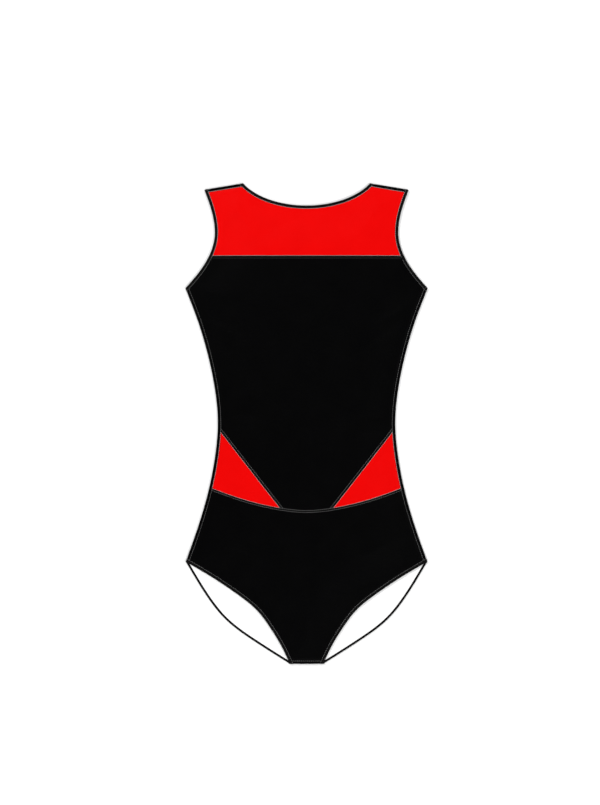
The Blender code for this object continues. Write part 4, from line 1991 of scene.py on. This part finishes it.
@dataclass(frozen=True)
class Stitching:
    """The needle thread: rows of stitches, each a short arched length of thread.

    The pale thread is for the rows beside the red pieces, the black one for the yoke seam's lower row, and
    the dark one for all others. Front rows lie above the front level. On a binding the thread sinks in a
    little, and lies higher on the front by the lift. A stitch swells and arches along its length by those
    shares of its radius.
    """

    drape: Drape
    bindings: Bindings
    covers: SeamCovers
    threads: dict[Thread, bpy.types.Material]
    length: float = 0.0023
    gap: float = 0.00045
    radius: float = 0.00016
    path_spacing: float = 0.0010
    beside: float = 0.0013
    front_level: float = 0.0026
    binding_sink: float = 0.00001
    binding_lift: float = 0.00010
    swell: tuple[float, ...] = (0.30, 0.85, 1.0, 1.0, 0.85, 0.30)
    arch: tuple[float, ...] = (-0.9, -0.15, 0.10, 0.10, -0.15, -0.9)
    sides: int = 6

    def stitches(self, row: Row) -> tuple[np.ndarray, np.ndarray]:
        """The stitches of one row.

        Args:
            row: The row.

        Returns:
            The points of each stitch, in rings, and how far along the row each ring is.
        """
        path, out, closed = row
        if closed:
            path, out = np.concatenate([path, path[:1]]), np.concatenate([out, out[:1]])
        along = arc_lengths(path)
        count = max(1, int(along[-1] // (self.length + self.gap)))
        pitch = along[-1] / count
        start = np.arange(count) * pitch + self.gap / 2
        at = start[:, None] + np.linspace(0.0, 1.0, len(self.swell))[None] * (pitch - self.gap)
        centre, up = read_at(at, along, path), read_at(at, along, out)
        up /= np.linalg.norm(up, axis=-1, keepdims=True)
        ahead = np.gradient(centre, axis=1)
        ahead /= np.linalg.norm(ahead, axis=-1, keepdims=True)
        aside = np.cross(ahead, up)
        centre = centre + up * (np.array(self.arch) * self.radius)[None, :, None]
        turn = math.pi - 2 * math.pi * np.arange(self.sides) / self.sides
        ring = aside[:, :, None] * np.cos(turn)[:, None] + up[:, :, None] * np.sin(turn)[:, None]
        size = np.array(self.swell)[None, :, None, None] * self.radius
        return centre[:, :, None] + ring * size, at

    def thread_at(self, places: np.ndarray) -> np.ndarray:
        """Which thread is used where.

        Args:
            places: Places (x, y, z).

        Returns:
            The numbers of the threads.
        """
        seam, half = self.drape.cut.yoke_seam[0, 1], self.drape.make.cover_half["yoke_seam"]
        lower = (places[:, 1] > seam - half) & (places[:, 1] < seam - half / 2)
        lower &= places[:, 2] > self.front_level
        other = np.where(lower, Thread.BLACK.value, Thread.DARK.value)
        return np.where(self.by_red(places), Thread.PALE.value, other)

    def by_red(self, places: np.ndarray) -> np.ndarray:
        """Whether places lie on the front, beside the edge of a red piece as it shows.

        Args:
            places: Places (x, y, z).

        Returns:
            True or False for each.
        """
        cut, make = self.drape.cut, self.drape.make
        flat = self.drape.folded_points(places)
        away = np.full(len(places), np.inf)
        for loop in (cut.yoke(), cut.side_inset()):
            edges = {name: make.cover_half.get(name, make.binding_width) for name in loop}
            shown = inset(loop, {**edges, "centre": 0.0})
            for name, line in shown.items():
                if name != "centre":
                    away = np.minimum(away, nearest(flat, line)[0])
        return (away < self.beside) & (places[:, 2] > make.front_face / 2)

    def row_mesh(self, name: str, rows: Sequence[Row]) -> bpy.types.Mesh:
        """One mesh of all the stitches of some rows.

        Args:
            name: The mesh's name.
            rows: The rows.

        Returns:
            The mesh, with a UV map in metres.
        """
        rings, along = (np.concatenate(parts) for parts in zip(*[self.stitches(row) for row in rows]))
        count, steps, sides = rings.shape[:3]
        at = np.arange(count * steps * sides).reshape(count, steps, sides)
        caps = np.concatenate([at[:, 0, ::-1], at[:, -1]]).tolist()
        width = 2 * math.pi * self.radius / sides
        ends = (along[:, :-1, None], along[:, 1:, None])
        left, near, far = np.broadcast_arrays(np.arange(sides) * width, *ends)
        uv = [(left, near), (left + width, near), (left + width, far), (left, far)]
        uv = np.stack([np.stack(pair, axis=-1) for pair in uv], axis=-2).reshape(-1, 2)
        mesh = tube_mesh(name, rings, tube_faces(at) + caps, uv)
        thread = self.thread_at(rings.mean(axis=(1, 2)))
        slots = np.concatenate([np.repeat(thread, (steps - 1) * sides), thread, thread])
        for choice in Thread:
            mesh.materials.append(self.threads[choice])
        mesh.polygons.foreach_set("material_index", slots.astype(np.int32))
        return mesh

    def binding_row(self, run: Frame) -> Row:
        """The row along a binding, all the way round.

        Args:
            run: The binding's run.

        Returns:
            The row, a little higher on the front than on the back.
        """
        make = self.drape.make
        lift = self.binding_lift * (1 + run.out[:, 2:]) / 2
        rise = make.binding_half - self.radius - self.binding_sink + lift
        across = run.across * (make.binding_row / make.binding_width)
        return Row(run.points + across + run.out * rise, run.out, closed=True)

    def laid_row(self, line: Line, height: np.ndarray) -> Row:
        """A row that lies on a surface of that height."""
        return Row(raised(line, height + self.radius / 2), upwards(len(line)))

    def flap_rows(self) -> list[Row]:
        """The rows along the flaps.

        Returns:
            The rows of the shoulders, the sides and the crotch.
        """
        make = self.drape.make
        sides = inset(self.drape.cut.layer(Layer.FRONT), make.margins(make.flap_row, make.binding_width))
        rows = []
        for name in FOLDED:
            both = [on_hand(sides[name], hand) for hand in Hand]
            for line in [joined(*both)] if name == "crotch" else both:
                line = evenly(line, self.path_spacing)
                rows.append(self.laid_row(line, self.drape.front(line, flap=True)))
        return rows

    def seam_rows(self, seam: Seam) -> list[Row]:
        """The rows on a seam's cover.

        Args:
            seam: The seam.

        Returns:
            Its two rows.
        """
        rows = []
        line = evenly(seam.line, self.path_spacing)
        for side in (-1.0, 1.0):
            offset = self.drape.make.needle_share * seam.half * side
            row = self.covers.kept(seam, line + inward_normals(line) * offset, 0.0)
            row = evenly(row, self.path_spacing)
            top = self.drape.front(row) + self.covers.domed(np.array([offset]), seam.half)[0]
            rows.append(self.laid_row(row, top))
        return rows

    def build(self) -> None:
        """Makes the stitching."""
        rows = {
            "binding_stitches": [self.binding_row(run) for run in self.bindings.runs().values()],
            "flap_stitches": self.flap_rows(),
            "seam_stitches": [row for seam in self.covers.seams() for row in self.seam_rows(seam)],
        }
        for name, found in rows.items():
            piece(name, self.row_mesh(name, found), [])


class Lamp(NamedTuple):
    """A round soft light: its name, place, width and power."""

    name: str
    place: tuple[float, float, float]
    size: float
    power: float


@dataclass(frozen=True)
class Studio:
    """The floor that the garment lies on, the lights and the camera above it."""

    floor_size: float = 8.0
    floor_drop: float = 0.0001
    floor_colour: Colour = (0.90, 0.90, 0.90, 1.0)
    floor_rough: float = 0.9
    floor_specular: float = 0.1
    world_colour: Colour = (1.0, 1.0, 1.0, 1.0)
    world_strength: float = 0.22
    camera_place: tuple[float, float, float] = (-0.009, 0.02905, 2.617)
    focal_length: float = 85.0
    sensor: float = 36.0
    lamps: tuple[Lamp, ...] = (
        Lamp(name="key", place=(-2.0, 1.7, 2.0), size=1.2, power=68.0),
        Lamp(name="fill", place=(2.2, -0.8, 2.0), size=1.6, power=48.0),
        Lamp(name="back", place=(0.6, 2.7, 1.8), size=1.4, power=30.0),
        Lamp(name="front", place=(-0.4, -2.6, 2.0), size=1.6, power=44.0),
    )

    def floor(self) -> None:
        """Makes the floor."""
        half = self.floor_size / 2
        corners = [(-half, -half, 0.0), (half, -half, 0.0), (half, half, 0.0), (-half, half, 0.0)]
        mesh = bpy.data.meshes.new("floor")
        mesh.from_pydata(corners, [], [(0, 1, 2, 3)])
        made = bpy.data.objects.new("floor", mesh)
        made.location.z = -self.floor_drop
        bpy.context.scene.collection.objects.link(made)
        material = bpy.data.materials.new("floor_paper")
        material.use_nodes = True
        shader = material.node_tree.nodes["Principled BSDF"]
        shader.inputs["Base Color"].default_value = self.floor_colour
        shader.inputs["Roughness"].default_value = self.floor_rough
        shader.inputs["Specular IOR Level"].default_value = self.floor_specular
        mesh.materials.append(material)
        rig.stage(made)

    def light(self) -> None:
        """Makes the lights, which all aim at the garment, and the dim room around."""
        for name, place, size, power in self.lamps:
            light = bpy.data.lights.new(name, "AREA")
            light.shape = "DISK"
            light.size = size
            light.energy = power
            made = bpy.data.objects.new(name, light)
            made.location = place
            made.rotation_euler = (-Vector(place)).to_track_quat("-Z", "Y").to_euler()
            bpy.context.scene.collection.objects.link(made)
        world = bpy.data.worlds.new("room")
        world.use_nodes = True
        background = world.node_tree.nodes["Background"]
        background.inputs["Color"].default_value = self.world_colour
        background.inputs["Strength"].default_value = self.world_strength
        bpy.context.scene.world = world

    def camera(self) -> None:
        """Makes the camera, which looks straight down with the neck at the top."""
        lens = bpy.data.cameras.new("camera")
        lens.lens = self.focal_length
        lens.sensor_width = self.sensor
        made = bpy.data.objects.new("camera", lens)
        made.location = self.camera_place
        bpy.context.scene.collection.objects.link(made)
        bpy.context.scene.camera = made
        bpy.context.scene.view_settings.view_transform = "Standard"

    def build(self) -> None:
        """Makes the studio."""
        self.camera()
        self.floor()
        self.light()


def corners_of(box: Sequence[Sequence[float]]) -> list[list[float]]:
    """A box as plain lists of numbers."""
    return [[float(value) for value in corner] for corner in box]


def main() -> None:
    """Builds the dressed leotard around its solids."""
    logging.basicConfig(level=logging.INFO, format="%(name)s: %(message)s")
    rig.load()
    solid_box = corners_of(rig.bounds())
    groups = Groups()
    Studio().build()
    drape = Drape(Cut(), Make())
    black, reverse = BLACK_KNIT.material(groups), WHITE_REVERSE.material(groups)
    panels = {"red_cloth": RED_KNIT.material(groups), "black_cloth": black}
    BackPanel(drape, black, reverse).build()
    FrontPanels(drape, panels, reverse).build()
    bindings = Bindings(drape, BLACK_ELASTIC.material(groups))
    bindings.build()
    covers = SeamCovers(drape, BLACK_LOOPER.material(groups))
    covers.build()
    finishes = {Thread.PALE: PALE_THREAD, Thread.DARK: DARK_THREAD, Thread.BLACK: BLACK_THREAD}
    threads = {choice: finish.material(groups) for choice, finish in finishes.items()}
    Stitching(drape, bindings, covers, threads).build()
    with open(SIZE_FILE, "w", encoding="utf-8") as kept:
        json.dump({"solids": solid_box, "dressed": corners_of(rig.bounds())}, kept)


if __name__ == "__main__":
    main()
